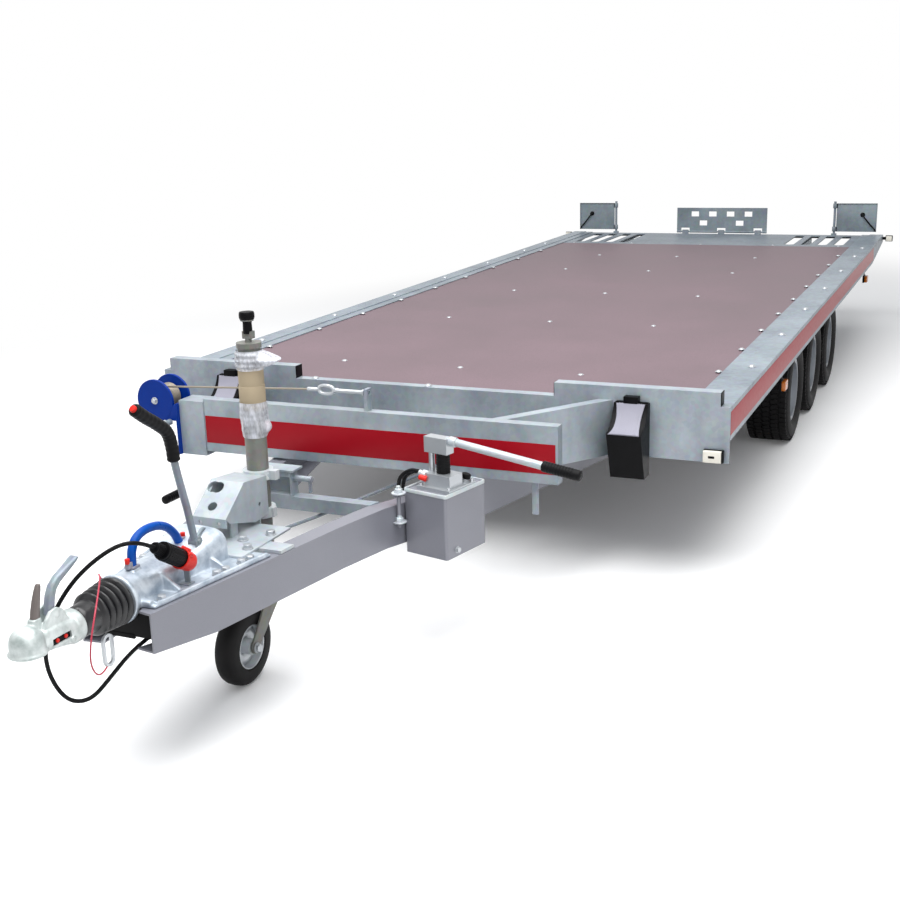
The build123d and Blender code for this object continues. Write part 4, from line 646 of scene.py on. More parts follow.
for row, distance in enumerate(wheel["rows"], 1):
    for sideName, side in (("left", 1), ("right", -1)):
        body = f"wheel_{row}_{sideName}"
        hub = at(side * wheel["offset"], distance, wheel["height"])
        turn = Matrix.Rotation(side * math.pi / 2, 4, "Y")
        shape = bmesh.new()
        addMesh(shape, tyreMesh, Matrix.Translation(hub) @ turn @ Matrix.Rotation(0.4 * row, 4, "Z"))
        tyre = finishPiece(f"{body}_tread", shape, tyreRubber, body, sharp=28)
        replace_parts(tyre, f"{body}_tyre")
        places = []
        for k in range(wheel["nuts"]):
            angle = 2 * math.pi * k / wheel["nuts"] + 0.5 * row
            spot = hub + Vector((side * wheel["disc"], wheel["studCircle"] * math.cos(angle), wheel["studCircle"] * math.sin(angle)))
            places.append((spot, (side, 0, 0)))
        finishFasteners(f"{body}_nuts", body, "bright_steel", brightSteel, places, seed=row, Head_Radius=0.0112, Head_Height=0.014,
                        Chamfer=0.0022, Washer_Radius=0.0130, Washer_Thickness=0.003, Stud_Radius=0.0060, Stud_Length=0.020)
        shape = bmesh.new()
        angle = 1.1 + row
        foot = hub + Vector((side * 0.036, 0.1190 * math.cos(angle), 0.1190 * math.sin(angle)))
        addTurned(shape, foot, (side, 0, 0), [(0, 0.0058), (0.006, 0.0056), (0.010, 0.0040), (0.024, 0.0038), (0.025, 0.0046), (0.034, 0.0046), (0.036, 0.0030)], 14)
        finishPiece(f"{body}_valve", shape, blackRubber, body)
print("wheels dressed")

# jockey wheel tyre: smooth solid rubber, rounded shoulders
jockey = {"x": -0.025, "y": -1.0, "hub": (-0.025, -1.138, 0.110), "radius": 0.110, "half": 0.031, "seat": 0.0622,
          "tube": 0.030, "capTop": 0.932}
hub = at(*jockey["hub"])
shape = bmesh.new()
r, h, seat = jockey["radius"], jockey["half"], jockey["seat"]
addRing(shape, hub, (1, 0, 0), [(-h + 0.003, seat), (-h, seat + 0.003), (-h, r - 0.024), (-h + 0.0035, r - 0.0115), (-h + 0.010, r - 0.0040),
                                (-h + 0.018, r - 0.0008), (0, r), (h - 0.018, r - 0.0008), (h - 0.010, r - 0.0040), (h - 0.0035, r - 0.0115),
                                (h, r - 0.024), (h, seat + 0.003), (h - 0.003, seat)], 72)
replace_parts(finishPiece("jockeyTread", shape, tyreRubber, "jockey_wheel"), "jockey_tyre")
shape = bmesh.new()
for side in (1, -1):  # pressed rim's rolled edge and hub cup
    addRing(shape, hub + Vector((side * 0.0248, 0, 0)), (side, 0, 0), [(-0.002, 0.0572), (0.0022, 0.0572), (0.0040, 0.0590), (0.0040, 0.0612), (0.0022, 0.0628), (-0.002, 0.0628)], 56)
    addRing(shape, hub + Vector((side * 0.005, 0, 0)), (side, 0, 0), [(0, 0.0215), (0.006, 0.030), (0.0072, 0.044), (0.0035, 0.052), (0.001, 0.0565), (-0.001, 0.0565), (-0.001, 0.0215)], 56)
finishPiece("jockeyRimPress", shape, brightSteel, "jockey_wheel")
axleEnds = [(hub + Vector((side * 0.044, 0, 0)), (side, 0, 0)) for side in (1, -1)]
finishFasteners("jockeyAxleNuts", "jockey_fork", "bright_steel", brightSteel, axleEnds, Head_Radius=0.0128, Head_Height=0.0075,
                Chamfer=0.002, Washer_Radius=0.0145, Washer_Thickness=0.0022, Stud_Radius=0.0098, Stud_Length=0.0085)
print("jockey wheel dressed")

# black mushroom knob on the jockey tube's spindle
shape = bmesh.new()
foot = at(jockey["x"], jockey["y"], 0.955)
addTurned(shape, foot, (0, 0, 1), [(0, 0.0100), (0.0005, 0.0122), (0.004, 0.0130), (0.028, 0.0122), (0.034, 0.0126), (0.037, 0.0155), (0.039, 0.0192),
                                   (0.0445, 0.0210), (0.0520, 0.0210), (0.0570, 0.0202), (0.0590, 0.0190), (0.0592, 0.0182), (0.0592, 0)], 40)
finishPiece("jockeyKnob", shape, blackPlastic, "jockey_tube")

# cardboard tube kept round the jockey tube from transport, its last layer lifting
shape = bmesh.new()
foot = at(jockey["x"], jockey["y"], 0.748)
addRing(shape, foot, (0, 0, 1), [(0.0000, 0.0305), (0.0000, 0.0352), (0.0010, 0.0358), (0.0660, 0.0356), (0.0668, 0.0352), (0.0670, 0.0346), (0.1140, 0.0347),
                                 (0.1158, 0.0340), (0.1160, 0.0305)], 64)
for vert in shape.verts:
    angle = math.atan2(vert.co.y - foot.y, vert.co.x - foot.x)
    if vert.co.z > foot.z + 0.110:
        vert.co.z -= 0.0035 * (0.5 + 0.5 * math.sin(3 * angle + 0.7) * math.cos(1.7 * angle))
    elif vert.co.z < foot.z + 0.002:
        vert.co.z += 0.0028 * (0.5 + 0.5 * math.sin(2.3 * angle))
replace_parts(finishPiece("cardboardTube", shape, cardboard, "jockey_tube"), "transit_sleeve")

# ---- red bands on the front beam and the side rails ----
band = {"proud": 0.0008, "frontLow": 0.441, "frontHigh": 0.535, "frontRight": -0.628, "frontLeft": 0.623, "beamFace": -0.379,
        "sideLow": 0.500, "sideHigh": 0.576, "sideStart": 0.010, "sideEnd": 4.400, "railFace": 1.065}
shape = bmesh.new()
addBlock(shape, at(band["frontRight"], band["beamFace"] - band["proud"], band["frontLow"]),
         at(band["frontLeft"], band["beamFace"] + 0.0004, band["frontHigh"]), 0.0003)
for side in (1, -1):
    addBlock(shape, at(side * (band["railFace"] - 0.0004), band["sideStart"], band["sideLow"]),
             at(side * (band["railFace"] + band["proud"]), band["sideEnd"], band["sideHigh"]), 0.0003)
finishPiece("redBands", shape, redVinyl, "bed")

# ---- bolts of the bed ----
railBolts = [(at(side * 1.016, 0.617 + 0.636 * k if k < 6 else 4.20, 0.592), (0, 0, 1)) for side in (1, -1) for k in range(7)]
finishFasteners("railBolts", "bed", "bright_steel", brightSteel, railBolts, seed=3, Domed=True, Head_Radius=0.0125, Head_Height=0.0075,
                Washer_Radius=0.0150, Washer_Thickness=0.0018, Stud_Radius=0.002, Stud_Length=0.004)
deckBolts = [(at(side * 0.919, 0.52 + 0.415 * k, 0.589), (0, 0, 1)) for side in (1, -1) for k in range(9)]
finishFasteners("deckEdgeBolts", "bed", "bright_steel", brightSteel, deckBolts, seed=4, Domed=True, Head_Radius=0.0105, Head_Height=0.0055,
                Washer_Radius=0.0125, Washer_Thickness=0.0014, Stud_Radius=0.002, Stud_Length=0.003)
deckScrews = [(at(x, y, 0.585), (0, 0, 1)) for x in (-0.485, 0.0, 0.465) for y in (0.36, 1.367, 2.204, 3.04, 3.70)]
finishFasteners("deckScrews", "bed", "bright_steel", brightSteel, deckScrews, seed=5, Domed=True, Head_Radius=0.0095, Head_Height=0.0042,
                Washer_Radius=0.0110, Washer_Thickness=0.0009, Stud_Radius=0.002, Stud_Length=0.003)
frontBolts = [(at(x, 0.020, 0.592), (0, 0, 1)) for x in (-0.42, 0.025)]
finishFasteners("frontEdgeBolts", "bed", "bright_steel", brightSteel, frontBolts, seed=6, Domed=True, Head_Radius=0.0115, Head_Height=0.006,
                Washer_Radius=0.0140, Washer_Thickness=0.0016, Stud_Radius=0.002, Stud_Length=0.003)
plateScrews = [(at(x, 4.345, 0.585), (0, 0, 1)) for x in (-0.86, -0.46, 0.0, 0.46, 0.86)]
finishFasteners("rearPlateRivets", "bed", "bright_steel", brightSteel, plateScrews, seed=7, Domed=True, Head_Radius=0.0075, Head_Height=0.0035,
                Washer_Radius=0.0085, Washer_Thickness=0.0008, Stud_Radius=0.002, Stud_Length=0.002)

# ---- bolts of the chassis ----
footBolts = [(at(side * x, y, 0.446), (0, 0, 1)) for side in (1, -1)
             for x, y in ((0.118, -1.432), (0.124, -1.402), (0.132, -1.345), (0.138, -1.315), (0.086, -1.610))]
finishFasteners("housingBolts", "chassis", "bright_steel", brightSteel, footBolts, seed=8, Head_Radius=0.0108, Head_Height=0.0078,
                Chamfer=0.0014, Washer_Radius=0.0128, Washer_Thickness=0.0025, Stud_Radius=0.0058, Stud_Length=0.012)
postBolts = [(at(x, y, 0.4515), (0, 0, 1)) for x, y in ((0.052, -1.212), (0.098, -1.262), (-0.098, -1.262), (0.098, -1.150), (-0.098, -1.150))]
finishFasteners("bracketBolts", "chassis", "bright_steel", brightSteel, postBolts, seed=9, Head_Radius=0.0118, Head_Height=0.0085,
                Chamfer=0.0016, Washer_Radius=0.0145, Washer_Thickness=0.0028, Stud_Radius=0.0062, Stud_Length=0.013)
axleBolts = [(at(side * x, y - 0.160 + d, 0.282 - 0.008), (0, 0, -1)) for side in (1, -1) for y in wheel["rows"]
             for x, d in ((0.574, -0.044), (0.574, 0.044), (0.604, -0.044), (0.604, 0.044))]
finishFasteners("axleSeatBolts", "chassis", "bright_steel", brightSteel, axleBolts, seed=10, Head_Radius=0.0105, Head_Height=0.0075,
                Chamfer=0.0014, Washer_Radius=0.0125, Washer_Thickness=0.0024, Stud_Radius=0.0055, Stud_Length=0.013)
print("fasteners placed")

# ---- bellows: five soft pleats, growing toward the housing, behind a smooth cone ----
bellowSizes = {"front": -1.810, "rear": -1.668, "collar": 0.046, "pleats": 5, "crest": 0.0597, "growth": 0.009, "depth": 0.0118,
               "nose": 0.036, "axis": 0.455}
shape = bmesh.new()


def crestAt(t):
    # the pleats' outer radius, t from the first to the last
    return bellowSizes["crest"] - bellowSizes["growth"] * (1 - t)


profile = [(0.0, 0.030), (0.0, bellowSizes["nose"] - 0.002), (0.0015, bellowSizes["nose"] - 0.0002), (0.012, bellowSizes["nose"] + 0.0010),
           (0.040, crestAt(0) - bellowSizes["depth"] - 0.0012), (bellowSizes["collar"], crestAt(0) - bellowSizes["depth"])]
pitch = (bellowSizes["rear"] - bellowSizes["front"] - bellowSizes["collar"]) / bellowSizes["pleats"]
for k in range(bellowSizes["pleats"]):
    for j in range(12):
        t = j / 12
        lift = 1 - abs(2 * t - 1) ** 1.6
        profile.append((bellowSizes["collar"] + (k + t) * pitch, crestAt((k + t) / bellowSizes["pleats"]) - bellowSizes["depth"] * (1 - lift)))
profile += [(bellowSizes["rear"] - bellowSizes["front"], crestAt(1) - bellowSizes["depth"]), (bellowSizes["rear"] - bellowSizes["front"], 0.030)]
addRing(shape, at(0, bellowSizes["front"], bellowSizes["axis"]), (0, 1, 0), profile, 72)
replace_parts(finishPiece("bellowsPleats", shape, bellowsRubber, "chassis", sharp=60), "bellows")

# ---- coupling head: one casting from the ball's dome back to the collar ----
head = {"ballY": -1.958, "skirt": 0.4475, "dome": 0.038, "rise": 0.0245, "bore": 0.0254, "collar": 0.0390, "collarFront": -1.836, "collarRear": -1.813}
shape = bmesh.new()
domeSide = [(0.0, 0.0392), (0.0006, 0.0418), (0.0030, 0.0427), (0.0062, 0.0420), (0.0088, 0.0398), (0.0120, 0.0384), (head["rise"], head["dome"])]
domeSide += [(head["rise"] + head["dome"] * math.sin(math.pi * k / 20), head["dome"] * math.cos(math.pi * k / 20)) for k in range(1, 10)]
addTurned(shape, at(0, head["ballY"], head["skirt"]), (0, 0, 1), domeSide + [(head["rise"] + head["dome"], 0)], 64)
addLoft(shape, [(at(0, y, z), wide, high, square) for y, z, wide, high, square in (
    (-1.950, 0.468, 0.0300, 0.0240, 3.0), (-1.925, 0.466, 0.0310, 0.0265, 3.4), (-1.895, 0.463, 0.0300, 0.0285, 3.6),
    (-1.868, 0.459, 0.0310, 0.0305, 3.2), (-1.846, 0.456, 0.0340, 0.0340, 2.5), (-1.834, 0.455, 0.0368, 0.0368, 2.0))])
addRod(shape, at(0, head["collarFront"], 0.455), at(0, head["collarRear"], 0.455), head["collar"], sides=56, edge=0.0016)
addRod(shape, at(0, head["collarRear"] - 0.002, 0.455), at(0, -1.600, 0.455), 0.025, sides=40)
for side in (1, -1):
    addPlate(shape, [at(side * 0.0126, y, z) for y, z in ((-1.932, 0.484), (-1.916, 0.508), (-1.900, 0.5225), (-1.880, 0.5255), (-1.862, 0.516), (-1.846, 0.484))],
             (side * 0.0078, 0, 0), 0.0015)
    addRod(shape, at(side * 0.012, -1.882, 0.512), at(side * 0.0224, -1.882, 0.512), 0.0078, sides=24, edge=0.001)
    addRod(shape, at(side * 0.020, -1.856, 0.443), at(side * 0.0365, -1.856, 0.443), 0.0075, sides=20, edge=0.0015)
addLoft(shape, [(at(0, -1.929, z), wide, high, 3.0) for z, wide, high in ((0.484, 0.0150, 0.0170), (0.502, 0.0130, 0.0150), (0.5160, 0.0110, 0.0130))])
bore = bmesh.new()
addTurned(bore, at(0, head["ballY"], 0.440), (0, 0, 1), [(0.0, 0.0290), (0.0070, 0.0285), (0.0105, 0.0256), (0.015, head["bore"])]
          + [(0.015 + head["bore"] * math.sin(math.pi * k / 16), head["bore"] * math.cos(math.pi * k / 16)) for k in range(1, 8)] + [(0.015 + head["bore"], 0)], 48)
for side in (1, -1):
    addBlock(bore, at(side * 0.0268, -1.914, 0.4500), at(side * 0.0500, -1.858, 0.4650))
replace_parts(fusedPiece("couplingHead", shape, castZinc, "chassis", voxel=0.0013, rounds=6, cutter=bore, sharp=50), "coupling_head")
shape = bmesh.new()
for side in (1, -1):
    addBlock(shape, at(side * 0.0262, -1.9135, 0.4503), at(side * 0.0278, -1.8585, 0.4647), 0.0003)
finishPiece("couplingWindows", shape, blackPlastic, "chassis")
shape = bmesh.new()
for side in (1, -1):
    for y in (-1.899, -1.873):
        addRod(shape, at(side * 0.0270, y, 0.4575), at(side * 0.0312, y, 0.4575), 0.0048, sides=18, edge=0.001)
finishPiece("couplingWearMarks", shape, redPlastic, "chassis")

# its handle: a forged lever with a flattened end, and the short release blade in front of it
shape = bmesh.new()
addLoft(shape, [(at(0, y, z), wide, high, 2.8) for y, z, wide, high in (
    (-1.8845, 0.507, 0.0100, 0.0105), (-1.8810, 0.526, 0.0104, 0.0108), (-1.8755, 0.546, 0.0102, 0.0100), (-1.8660, 0.563, 0.0100, 0.0096),
    (-1.8500, 0.5755, 0.0100, 0.0092), (-1.8280, 0.5850, 0.0104, 0.0080), (-1.8080, 0.5940, 0.0112, 0.0066), (-1.7940, 0.6010, 0.0120, 0.0052),
    (-1.7870, 0.6050, 0.0110, 0.0034))])
finishPiece("couplingLever", shape, galvanised, "chassis", sharp=50)
shape = bmesh.new()
addLoft(shape, [(at(0, y, z), wide, high, 3.2) for y, z, wide, high in (
    (-1.9270, 0.512, 0.0086, 0.0105), (-1.9235, 0.530, 0.0082, 0.0098), (-1.9180, 0.550, 0.0076, 0.0085), (-1.9110, 0.570, 0.0066, 0.0068),
    (-1.9065, 0.5815, 0.0056, 0.0052), (-1.9052, 0.5850, 0.0040, 0.0034))])
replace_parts(finishPiece("couplingBlade", shape, phosphated, "chassis", sharp=50), "coupling_handle")

# ---- overrun housing: one galvanised casting on its foot ----
housing = {"front": -1.668, "axis": 0.455, "ring": 0.0600, "foot": (0.438, 0.446), "footFront": -1.650, "footRear": -1.262, "inset": 0.012}


def armOut(y):
    # the outer face of a drawbar arm, ahead of its knee
    return 0.227 + (0.125 / 0.677) * (y + 1.0)


shape = bmesh.new()
addTurned(shape, at(0, housing["front"], housing["axis"]), (0, 1, 0), [(0.0, 0.0560), (0.0006, 0.0588), (0.0026, housing["ring"]), (0.0110, housing["ring"]),
                                                                      (0.0135, 0.0585), (0.0160, 0.0535), (0.0300, 0.0520), (0.330, 0.0520), (0.338, 0.046)], 64)
addLoft(shape, [(at(0, y, z), wide, high, square) for y, z, wide, high, square in (
    (-1.630, 0.458, 0.0440, 0.0380, 2.6), (-1.590, 0.460, 0.0500, 0.0400, 2.8), (-1.500, 0.460, 0.0620, 0.0420, 3.0), (-1.440, 0.460, 0.0720, 0.0440, 3.2),
    (-1.410, 0.460, 0.0770, 0.0540, 3.4), (-1.370, 0.460, 0.0820, 0.0640, 3.6), (-1.335, 0.460, 0.0840, 0.0670, 3.6), (-1.326, 0.460, 0.0830, 0.0660, 3.6))])
addLoft(shape, [(at(0, y, 0.458), wide, high, 2.4) for y, wide, high in ((-1.340, 0.050, 0.034), (-1.290, 0.044, 0.030), (-1.2625, 0.036, 0.024))])
for k, (y, low) in enumerate(((-1.598, 0.510), (-1.412, 0.502))):
    addBlock(shape, at(-0.0155, y - 0.0150, 0.480), at(0.0155, y + 0.0150, low - 0.0002))
corners = [(side * (armOut(y) - housing["inset"]), y) for side, y in ((1, housing["footFront"]), (1, housing["footRear"]), (-1, housing["footRear"]), (-1, housing["footFront"]))]
addPlate(shape, [at(x, y, housing["foot"][0]) for x, y in corners], (0, 0, housing["foot"][1] - housing["foot"][0]))
for side in (1, -1):
    addLoft(shape, [(at(side * (armOut(y) - 0.018), y, 0.4475), 0.0050, 0.0045, 2.5) for y in (-1.640, -1.560, -1.480, -1.400, -1.300, -1.270)], sides=16)
    addLoft(shape, [(at(side * x, -1.6425, 0.452 - 0.02 * (x - 0.04)), 0.012, 0.0060, 2.5) for x in (0.035, 0.060, 0.084)], across=(0, 1, 0), sides=16)
    for y, out in ((-1.560, 0.105), (-1.400, 0.128)):
        addPlate(shape, [at(side * 0.035, y, 0.442), at(side * out, y, 0.442), at(side * out, y, 0.4485), at(side * 0.048, y, 0.490), at(side * 0.035, y, 0.490)],
                 (0, 0.012, 0))
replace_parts(fusedPiece("housingCasting", shape, castHousing, "chassis", voxel=0.0022, rounds=5, sharp=50), "overrun_housing")

shape = bmesh.new()  # black plate between the arms' noses, under the housing: painted shade, a dark sheet standing in for the shadow inside the noses
addBlock(shape, at(-0.099, -1.6520, 0.3620), at(0.099, -1.6480, 0.4370), 0.0008)
addBlock(shape, at(-0.060, -1.6535, 0.3560), at(0.030, -1.6465, 0.3680), 0.002)
finishPiece("noseShadePlate", shape, blackPlastic, "chassis")

# ---- jockey bracket: folded sheet, its hood leaning forward onto the housing ----
bracket = {"left": -0.080, "right": 0.022, "sheet": 0.005, "plateSide": 0.118, "plateFront": -1.320, "plateRear": -1.082, "plateLow": 0.4462, "plateHigh": 0.4515}
shape = bmesh.new()
width = (bracket["right"] - bracket["left"], 0, 0)
sheet = bracket["sheet"]
for outline in (((-1.2400, 0.513), (-1.1440, 0.5860), (-1.1410, 0.5810), (-1.2360, 0.5085)),  # the sloping face
                ((-1.2400, 0.513), (-1.2400, 0.488), (-1.2355, 0.488), (-1.2355, 0.510)),  # its lip
                ((-1.1440, 0.5812), (-1.1440, 0.5860), (-1.0330, 0.5730), (-1.0330, 0.5682))):  # the top flange
    addPlate(shape, [at(bracket["left"], y, z) for y, z in outline], width)
for x in (bracket["left"], bracket["right"] - sheet):
    addPlate(shape, [at(x, y, z) for y, z in ((-1.2360, 0.509), (-1.1430, 0.5820), (-1.0340, 0.5700), (-1.0340, 0.4660), (-1.1000, 0.4620), (-1.2180, 0.4950))], (sheet, 0, 0))
for x, y in ((-0.070, -1.205), (0.008, -1.205)):
    addPlate(shape, [at(x, y, z) for z in (0.4500,)] + [at(x, y + 0.030, 0.4500), at(x, y + 0.030, 0.500), at(x, y, 0.496)], (0.005, 0, 0))
addPlate(shape, [at(bracket["left"] + 0.004, y, z) for y, z in ((-1.075, 0.332), (-1.075, 0.4700), (-1.069, 0.4700), (-1.069, 0.332))], (0.094, 0, 0))
corners = [(side * bracket["plateSide"], y) for side, y in ((1, bracket["plateFront"]), (1, bracket["plateRear"]), (-1, bracket["plateRear"]), (-1, bracket["plateFront"]))]
addPlate(shape, [at(x, y, bracket["plateLow"]) for x, y in corners], (0, 0, bracket["plateHigh"] - bracket["plateLow"]))
for side in (1, -1):  # ears out to the drawbar arms
    addPlate(shape, [at(side * x, y, bracket["plateLow"] - 0.0075) for x, y in ((0.112, -1.240), (0.1825, -1.240), (0.1895, -1.185), (0.112, -1.185))], (0, 0, 0.0085))
holes = bmesh.new()
slope = Vector((0, 0.096, 0.073)).normalized()
facing = Vector((0, -slope.z, slope.y))
for x, along, radius in ((-0.036, 0.036, 0.0135), (-0.048, 0.097, 0.0175), (-0.062, 0.097, 0.0175)):
    middle = at(x, -1.2400, 0.513) + slope * along
    addRod(holes, middle - facing * 0.012, middle + facing * 0.012, radius, sides=32)
for x in (-0.058, 0.000):
    addRod(holes, at(x, -1.246, 0.499), at(x, -1.230, 0.499), 0.0052, sides=20)
addRod(holes, at(0.012, -1.075, 0.505), at(0.026, -1.075, 0.505), 0.0065, sides=20)
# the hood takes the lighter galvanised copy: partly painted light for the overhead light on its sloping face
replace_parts(fusedPiece("jockeyHood", shape, galvanisedLighter, "chassis", cutter=holes, sharp=30), "jockey_bracket")

# ---- jockey fork: two pressed legs under a crown ----
fork = {"x": -0.025, "y": -1.000, "hub": -1.138, "axle": 0.110, "gap": 0.0360, "sheet": 0.006, "crown": 0.262}
shape = bmesh.new()
for side in (1, -1):
    inner = fork["x"] + side * fork["gap"]
    legSide = [(fork["y"] + 0.022, fork["crown"]), (fork["y"] - 0.040, fork["crown"]), (fork["hub"] - 0.0155, fork["axle"] + 0.012)]
    legSide += [(fork["hub"] + 0.018 * math.cos(math.radians(a)), fork["axle"] + 0.018 * math.sin(math.radians(a))) for a in (170, 200, 230, 260, 290, 320, 350)]
    legSide += [(fork["y"] + 0.010, fork["crown"] - 0.045)]
    addPlate(shape, [at(inner, y, z) for y, z in legSide], (side * fork["sheet"], 0, 0), 0.0012)
    addRod(shape, at(inner + side * fork["sheet"], fork["hub"], fork["axle"]), at(inner + side * (fork["sheet"] + 0.003), fork["hub"], fork["axle"]), 0.0125, sides=28, edge=0.0006)
addBlock(shape, at(fork["x"] - fork["gap"] - fork["sheet"], fork["y"] - 0.040, fork["crown"] - 0.006), at(fork["x"] + fork["gap"] + fork["sheet"], fork["y"] + 0.022, fork["crown"] + 0.001), 0.002)
addRod(shape, at(fork["x"], fork["y"], fork["crown"] - 0.002), at(fork["x"], fork["y"], 0.2795), 0.0335, sides=56, edge=0.0015)
addRod(shape, at(fork["x"] - 0.0495, fork["hub"], fork["axle"]), at(fork["x"] + 0.0495, fork["hub"], fork["axle"]), 0.0075, sides=24, edge=0.001)
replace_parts(finishPiece("jockeyForkLegs", shape, dullTube, "jockey_fork"), "jockey_fork")

# ---- transit film bunched on the jockey tube, above and below its cardboard sleeve ----
clearFilm, tree, surface, coords = newMaterial("crumpledClearFilm", Roughness=0.22)
surface.inputs["Base Color"].default_value = linear("E4E6EE")
folds = noise(tree, stretched(tree, coords, (1, 1, 0.35)), 60.0, 4.0, 0.6)
cloudy = addNode(tree, "ShaderNodeMapRange", Value=folds, From_Min=0.35, From_Max=0.65, To_Min=0.34, To_Max=0.88)
tree.links.new(cloudy.outputs[0], surface.inputs["Alpha"])
bump(tree, surface, folds, 0.6, 0.004)


def wrapRings(shape, levels, sides=96):
    # rings round the jockey tube: (height, radius, how far it bags out to the side, depth of its folds)
    rings = []
    for height, radius, bag, depth in levels:
        ring = []
        for j in range(sides):
            angle = 2 * math.pi * j / sides
            crease = depth * (math.sin(7 * angle + 38 * height) + 0.6 * math.sin(13 * angle - 61 * height) + 0.4 * math.sin(23 * angle + 95 * height))
            lean = max(0.0, math.cos(angle - 0.25)) ** 3 * bag
            reach = radius + 0.5 * depth + max(0.0, crease) + lean
            ring.append(shape.verts.new(at(jockey["x"] + reach * math.cos(angle), jockey["y"] + reach * math.sin(angle), height)))
        rings.append(ring)
    for first, second in zip(rings, rings[1:]):
        for j in range(sides):
            following = (j + 1) % sides
            shape.faces.new((first[j], first[following], second[following], second[j]))


for name, levels in (
    ("upperFilm", [(0.8590 + 0.0022 * k, 0.0370 - 0.0016 * math.sin(k * 0.9), 0.047 * math.sin(math.pi * k / 24) ** 2, 0.0004 + 0.0024 * math.sin(math.pi * k / 24)) for k in range(25)]),
    ("lowerFilm", [(0.6720 + 0.0026 * k, 0.0318 + 0.0055 * min(1.0, k / 26) + 0.0004 * math.sin(k), 0.013 * math.sin(math.pi * min(1.0, k / 20)) ** 2, 0.0003 + 0.0014 * math.sin(math.pi * k / 38))
                   for k in range(39)]),
):
    shape = bmesh.new()
    wrapRings(shape, levels)
    cut = sum(face.calc_area() for face in shape.faces)
    film = finishPiece(name, shape, clearFilm, "jockey_tube", sharp=80)

# ---- grips ----
grips = {"pump": 0.0155, "brake": 0.0155, "crank": 0.0150}
turnOut = Vector((0.24, 1, 0)).normalized()
outWay = Vector((turnOut.y, -turnOut.x, 0))
tankCorner = at(0.227, -1.0, 0) + turnOut * 0.2643 + outWay * 0.003


def onTank(x, y, z):
    # a point on the pump: x outward, y back along the arm
    return tankCorner + outWay * x + turnOut * y + Vector((0, 0, z))


def gripProfile(long, radius, ribs):
    profile = [(0, radius * 0.80), (0.0012, radius * 0.94), (0.004, radius), (0.010, radius)]
    step = (long - 0.030) / ribs
    for k in range(ribs):
        start = 0.012 + k * step
        profile += [(start, radius), (start + step * 0.16, radius * 0.93), (start + step * 0.34, radius * 0.93), (start + step * 0.5, radius)]
    return profile + [(long - 0.010, radius), (long - 0.003, radius * 0.93), (long - 0.0006, radius * 0.72), (long, 0)]


shape = bmesh.new()
leverRoot, leverTip = onTank(0.126, 0.070, 0.616), onTank(0.520, 0.112, 0.566)
run = leverTip - leverRoot
addTurned(shape, leverRoot + run * 0.715, run, gripProfile(run.length * 0.285 + 0.001, grips["pump"], 10), 32)
finishPiece("pumpLeverGrip", shape, blackRubber, "chassis")
shape = bmesh.new()
addRod(shape, leverRoot - run * 0.045, leverRoot + run * 0.760, 0.0112, sides=32, edge=0.001)
addRod(shape, leverRoot - run * 0.02, leverRoot + run * 0.035, 0.0142, sides=32, edge=0.0015)
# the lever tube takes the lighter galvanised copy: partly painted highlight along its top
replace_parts(finishPiece("pumpLeverTube", shape, galvanisedLighter, "chassis"), "pump_lever")
shape = bmesh.new()
addTurned(shape, at(-0.715, -0.430, 0.270), (0, -1, 0), gripProfile(0.100, grips["crank"], 7), 32)
finishPiece("crankGrip", shape, blackPlastic, "bed")
shape = bmesh.new()
addRod(shape, at(-0.759, -0.398, 0.508), at(-0.759, -0.438, 0.508), 0.0105, sides=28, edge=0.0015)
addPlate(shape, [at(x, -0.4320, z) for x, z in ((-0.772, 0.506), (-0.768, 0.517), (-0.759, 0.521), (-0.750, 0.517), (-0.7455, 0.506),
                                               (-0.7040, 0.268), (-0.707, 0.259), (-0.715, 0.255), (-0.723, 0.259), (-0.7250, 0.268))], (0, 0.0080, 0), 0.001)
addRod(shape, at(-0.715, -0.424, 0.270), at(-0.715, -0.500, 0.270), 0.0065, sides=20)
addRod(shape, at(-0.715, -0.4235, 0.270), at(-0.715, -0.4185, 0.270), 0.0105, sides=20, edge=0.001)
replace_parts(finishPiece("winchCrank", shape, galvanisedDull, "bed"), "winch_crank")
shape = bmesh.new()
leverRoute = [at(x, y, z) for x, y, z in ((0.044, -1.410, 0.522), (0.050, -1.434, 0.600), (0.057, -1.462, 0.675), (0.0625, -1.4835, 0.735),
                                          (0.063, -1.4905, 0.780), (0.063, -1.5040, 0.818), (0.063, -1.538, 0.846), (0.063, -1.600, 0.888))]
addBent(shape, smoothRoute(leverRoute, 6), 0.0092, 24)
addRod(shape, at(0.034, -1.407, 0.516), at(0.054, -1.407, 0.516), 0.0125, sides=28, edge=0.0012)
addRod(shape, at(0.029, -1.407, 0.516), at(0.060, -1.407, 0.516), 0.0062, sides=20, edge=0.001)
addBent(shape, smoothRoute([at(0.044, -1.405, 0.5165), at(0.041, -1.385, 0.5275), at(0.032, -1.358, 0.5290), at(0.028, -1.340, 0.5220)], 5), 0.0045, 14)
for x in (0.0315, 0.0535):
    addPlate(shape, [at(x, y, z) for y, z in ((-1.422, 0.494), (-1.420, 0.520), (-1.412, 0.5275), (-1.402, 0.5275), (-1.394, 0.520), (-1.390, 0.494))], (0.003, 0, 0), 0.0006)
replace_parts(finishPiece("brakeLever", shape, galvanisedDull, "chassis", sharp=50), "handbrake_lever")
shape = bmesh.new()
path = smoothRoute([at(0.063, -1.4868, 0.744), at(0.063, -1.4905, 0.782), at(0.063, -1.5035, 0.818), at(0.063, -1.5380, 0.846), at(0.063, -1.578, 0.872), at(0.063, -1.6140, 0.8985)], 12)
count = len(path)
radii = []
for k in range(count):
    swell = grips["brake"] * (1.0 if k % 4 else 0.945)
    radii.append(swell * (0.80 if k in (0, count - 1) else 0.93 if k in (1, count - 2) else 1.0))
addBent(shape, path, radii, 28)
finishPiece("brakeLeverGrip", shape, blackRubber, "chassis")
shape = bmesh.new()
way = (path[-1] - path[-3]).normalized()
